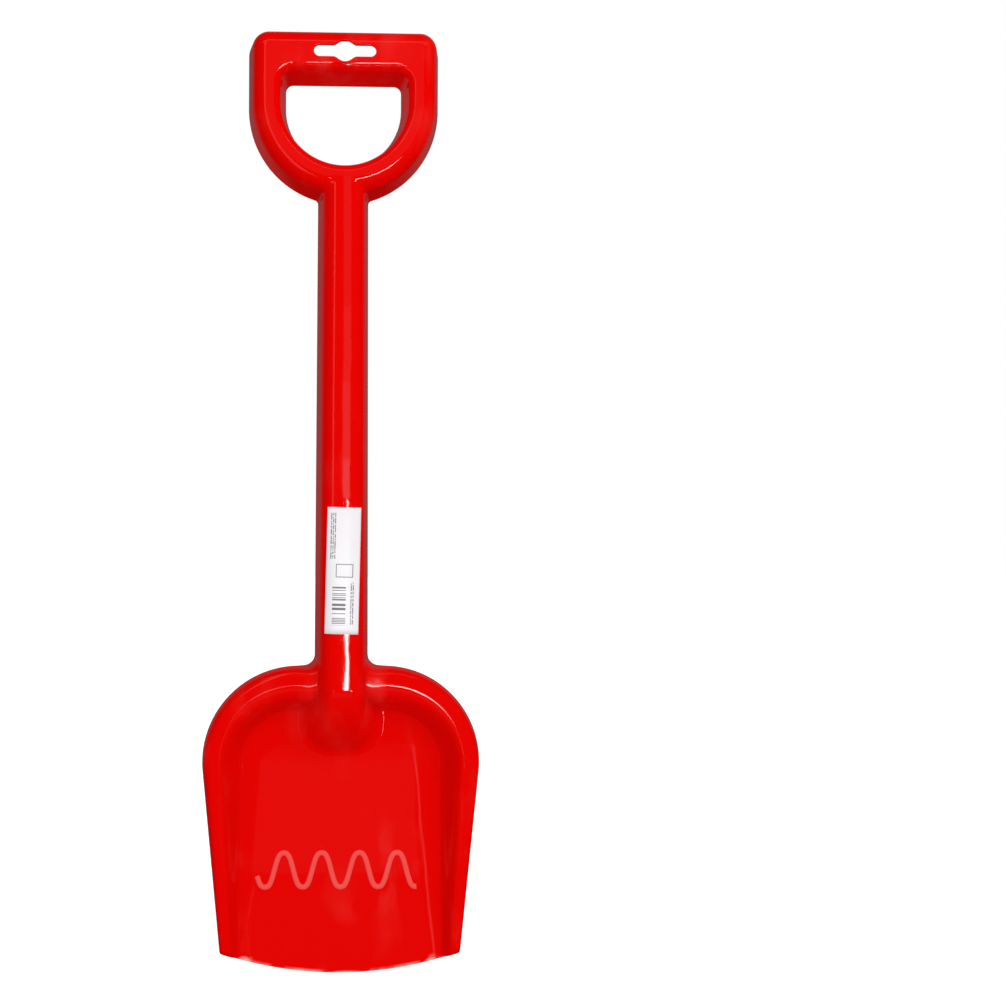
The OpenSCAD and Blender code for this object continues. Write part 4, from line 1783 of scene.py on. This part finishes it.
@dataclass(frozen=True)
class Card:
    """A glowing card beside the camera that only the gloss sees, with corners across and up.

    A louvred card is a lamp with slats: it sends its light level and upwards, wherever the camera stands.
    """

    name: str
    glow: float
    corners: tuple[Point, ...]
    louvred: bool = False
    louvre_cut: ClassVar[tuple[float, float]] = (-0.105, -0.085)

    def build(self, y: float) -> bpy.types.Object:
        """Puts the card into the scene.

        Args:
            y: Place of the card in front of the shovel.

        Returns:
            The card.
        """
        mesh = bpy.data.meshes.new(self.name)
        mesh.from_pydata([(a, y, b) for a, b in self.corners], [], [tuple(range(len(self.corners)))])
        mat, t = new_material(self.name)
        strength: object = self.glow
        if self.louvred:
            way = t.add("SeparateXYZ", {0: t.add("NewGeometry").outputs["Incoming"]}).outputs[2]
            strength = t.ramp(way, *self.louvre_cut, 0.0, self.glow)
        light = t.add("Emission", {"Color": WHITE, "Strength": strength})
        t.add("OutputMaterial", {"Surface": light.outputs[0]})
        mesh.materials.append(mat)
        card = new_object(self.name, mesh)
        card.visible_camera = card.visible_diffuse = card.visible_transmission = card.visible_shadow = False
        return card


def upright(x0: float, z0: float, x1: float, z1: float) -> tuple[Point, ...]:
    """Corners of a rectangle from its lower left and upper right ones."""
    return (x0, z0), (x1, z0), (x1, z1), (x0, z1)


def bent_band(mid: Point, r0: float, r1: float, a0: float, a1: float, steps: int = 8) -> tuple[Point, ...]:
    """Corners of a band bent round a point.

    Args:
        mid: Point that the band is bent round.
        r0: Inner radius.
        r1: Outer radius.
        a0: Start in degrees from the x axis.
        a1: End in degrees.
        steps: Count of straight pieces.

    Returns:
        The band's corners, out along the outer edge and back along the inner one.
    """
    turns = [math.radians(a) for a in np.linspace(a0, a1, steps + 1)]
    way = [(r1, a) for a in turns] + [(r0, a) for a in reversed(turns)]
    return tuple((mid[0] + r * math.cos(a), mid[1] + r * math.sin(a)) for r, a in way)


@dataclass
class Studio:
    """White surround, a soft panel, cards for the gloss and the camera, in metres."""

    middle: float = -0.2353
    distance: float = 0.75
    azimuth: float = math.radians(-2.0)
    roll: float = math.radians(-0.25)
    lens: float = 50.2
    sensor: float = 36.0
    shift: float = 0.1602
    floor_z: float = -0.4862
    floor_half: float = 4.0
    floor_tone: float = 0.86
    floor_glow: float = 0.6
    front_light: float = 1.24
    front_end: float = 0.2
    back_light: float = 1.6
    back_gloss: float = 0.1
    gloss_start: tuple[float, float] = (0.1, 0.5)
    gloss_dip: tuple[float, float] = (-0.35, 0.0)
    gloss_least: float = 0.1
    panel: Panel = Panel("upper_right_panel", (0.8, -0.8, 0.6), (0.0, 0.0, -0.3), (0.8, 1.0), 5.5)
    card_y: float = -0.75
    cards: tuple[Card, ...] = (
        Card("streak_card", 30.0, (
            (0.0276, -0.428), (0.0290, -0.432), (0.0314, -0.432), (0.0324, -0.428), (0.0322, -0.400),
            (0.0325, -0.372), (0.0316, -0.232), (0.0302, -0.232), (0.0280, -0.372), (0.0296, -0.400),
        )),
        Card("streak_glow", 1.2, upright(0.0260, -0.231, 0.0340, -0.19)),
        Card("shaft_low", 0.55, upright(0.0255, -0.1899, 0.0345, -0.11)),
        Card("shaft_middle", 0.35, upright(0.0255, -0.1099, 0.0345, -0.03)),
        Card("shaft_high", 0.2, upright(0.0255, -0.0299, 0.0345, 0.1045)),
        Card("grip_right", 12.0, upright(0.036, -0.08, 0.2, 0.1), True),
        Card("grip_left", 8.0, upright(-0.014, -0.08, 0.012, 0.1), True),
        Card("grip_haze", 0.12, upright(-0.12, 0.105, 0.16, 0.32)),
        Card("rim_right", 26.0, upright(0.04, -0.445, 0.071, -0.434)),
        Card("rim_corner", 20.0, bent_band((0.071, -0.509), 0.064, 0.075, 90.0, 30.0)),
        Card("rim_side", 7.0, bent_band((0.071, -0.509), 0.064, 0.075, 30.0, -8.0)),
        Card("rim_left", 6.0, upright(-0.022, -0.445, 0.008, -0.434)),
        Card("left_corner", 1.5, bent_band((-0.019, -0.509), 0.064, 0.075, 92.0, 190.0)),
        Card("pan_top", 0.04, ((-0.0596, -0.508), (0.1036, -0.508), (0.103, -0.4927), (-0.0386, -0.4927))),
        Card("pan_upper", 0.08, ((-0.0692, -0.63), (0.1092, -0.63), (0.1036, -0.5081), (-0.0596, -0.5081))),
        Card("pan_lower", 0.02, ((-0.085, -0.74), (0.128, -0.74), (0.1092, -0.631), (-0.0692, -0.631))),
        Card("pan_edge", 0.8, ((0.128, -0.74), (0.1295, -0.74), (0.1047, -0.4927), (0.1032, -0.4927))),
        Card("pan_left", 0.5, ((-0.0812, -0.722), (-0.0797, -0.722), (-0.0655, -0.645), (-0.067, -0.645))),
        Card("left_card", 0.6, upright(-0.3, -0.25, -0.125, 0.45)),
        Card("top_card", 0.6, upright(-0.5, 0.4, 0.5, 0.6)),
    )

    def camera(self) -> None:
        """Camera in front of the shovel, a little to its left."""
        data = bpy.data.cameras.new("front_camera")
        data.lens, data.sensor_width, data.shift_x = self.lens, self.sensor, self.shift
        data.clip_start = 0.01
        obj = bpy.data.objects.new("front_camera", data)
        d = self.distance
        obj.location = (d * math.sin(self.azimuth), -d * math.cos(self.azimuth), self.middle)
        obj.rotation_euler = Euler((math.pi / 2, self.roll, self.azimuth), "XYZ")
        bpy.context.scene.collection.objects.link(obj)
        bpy.context.scene.camera = obj

    def world(self) -> None:
        """White surround for the camera, bright behind the shovel and dark in front for its gloss."""
        world = bpy.data.worlds.new("white_surround")
        bpy.context.scene.world = world
        world.use_nodes = True
        t = ShaderTree(world.node_tree)
        _, y, z = t.add("SeparateXYZ", {0: t.add("TexCoord").outputs["Generated"]}).outputs
        gloss = t.times(
            t.ramp(y, *self.gloss_start, 0.0, self.back_gloss), t.ramp(z, *self.gloss_dip, self.gloss_least, 1.0)
        )
        ahead = t.ramp(y, -1.0, self.front_end, self.front_light, 0.0)
        around = t.greater(ahead, t.ramp(y, 0.0, 1.0, 0.0, self.back_light))
        glossy = t.add("LightPath").outputs["Is Glossy Ray"]
        level = t.add("Mix", {0: glossy, 2: around, 3: gloss}).outputs[0]
        strength = t.add("Mix", {0: t.seen(), 2: level, 3: 1.0}).outputs[0]
        light = t.add("Background", {"Color": WHITE, "Strength": strength})
        t.add("OutputWorld", {"Surface": light.outputs[0]})

    def floor(self) -> bpy.types.Object:
        """Pale floor under the blade's tip.

        Returns:
            The floor.
        """
        mesh = bpy.data.meshes.new("floor")
        r = self.floor_half
        mesh.from_pydata([(x, y, self.floor_z) for x, y in upright(-r, -r, r, r)], [], [(0, 1, 2, 3)])
        mat, t = new_material("pale_floor")
        matte = t.add("BsdfDiffuse", {"Color": (self.floor_tone, self.floor_tone, self.floor_tone, 1.0)})
        white = t.add("Emission", {"Color": WHITE, "Strength": t.times(t.seen(), self.floor_glow)})
        both = t.add("AddShader", {0: matte.outputs[0], 1: white.outputs[0]})
        t.add("OutputMaterial", {"Surface": both.outputs[0]})
        mesh.materials.append(mat)
        floor = new_object("floor", mesh)
        floor.visible_glossy = floor.visible_diffuse = False
        return floor

    def build(self) -> None:
        """Puts the studio into the scene."""
        bpy.context.scene.view_settings.view_transform = "Standard"
        self.world()
        self.floor()
        self.panel.build()
        for card in self.cards:
            card.build(self.card_y)
        self.camera()


def place_piece(obj: bpy.types.Object, slot: Slot, *nodes: str) -> None:
    """Ties a finished piece to the shovel's body and hides the CAD nodes that it stands for.

    Args:
        obj: Finished piece.
        slot: Material slot of the record; not used.
        nodes: Nodes that the piece stands for.
    """
    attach(obj, "root")
    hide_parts(*nodes)
    LOG.info("%s: %d faces", obj.name, len(obj.data.polygons))


def main() -> None:
    """Builds the shovel and the studio."""
    logging.basicConfig(level=logging.INFO, format="%(name)s: %(message)s")
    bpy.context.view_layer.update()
    form = ShellForm(ShellSizes())
    red = PlasticFinish(
        name="glossy_red", color=(0.81, 0.0012, 0.0004), rubbed=(0.85, 0.03, 0.025),
        roughness=0.022, rubbed_roughness=0.2, specular=0.45, scuffs=0.7,
    ).material()
    pale = PlasticFinish(
        name="frosted_red", color=(0.95, 0.065, 0.055), rubbed=(0.95, 0.12, 0.10),
        roughness=0.42, rubbed_roughness=0.5, specular=0.4, scuffs=0.5,
    ).material()
    paper = PaperFinish(
        name="label_paper", color=(0.92, 0.89, 0.92), ink=(0.05, 0.05, 0.06), roughness=0.1
    ).material()
    place_piece(MouldedShell(form).build(red), Slot.SHELL, *MouldedShell.nodes)
    for webs, node in CrossWebs(form).build(red):
        place_piece(webs, Slot.SHELL, node)
    place_piece(WaveBead(form.z.pan_h).build(pale), Slot.BEAD, "wave_bead")
    place_piece(PaperLabel(form).build(paper), Slot.LABEL, "label")
    Studio().build()


if __name__ == "__main__":
    main()
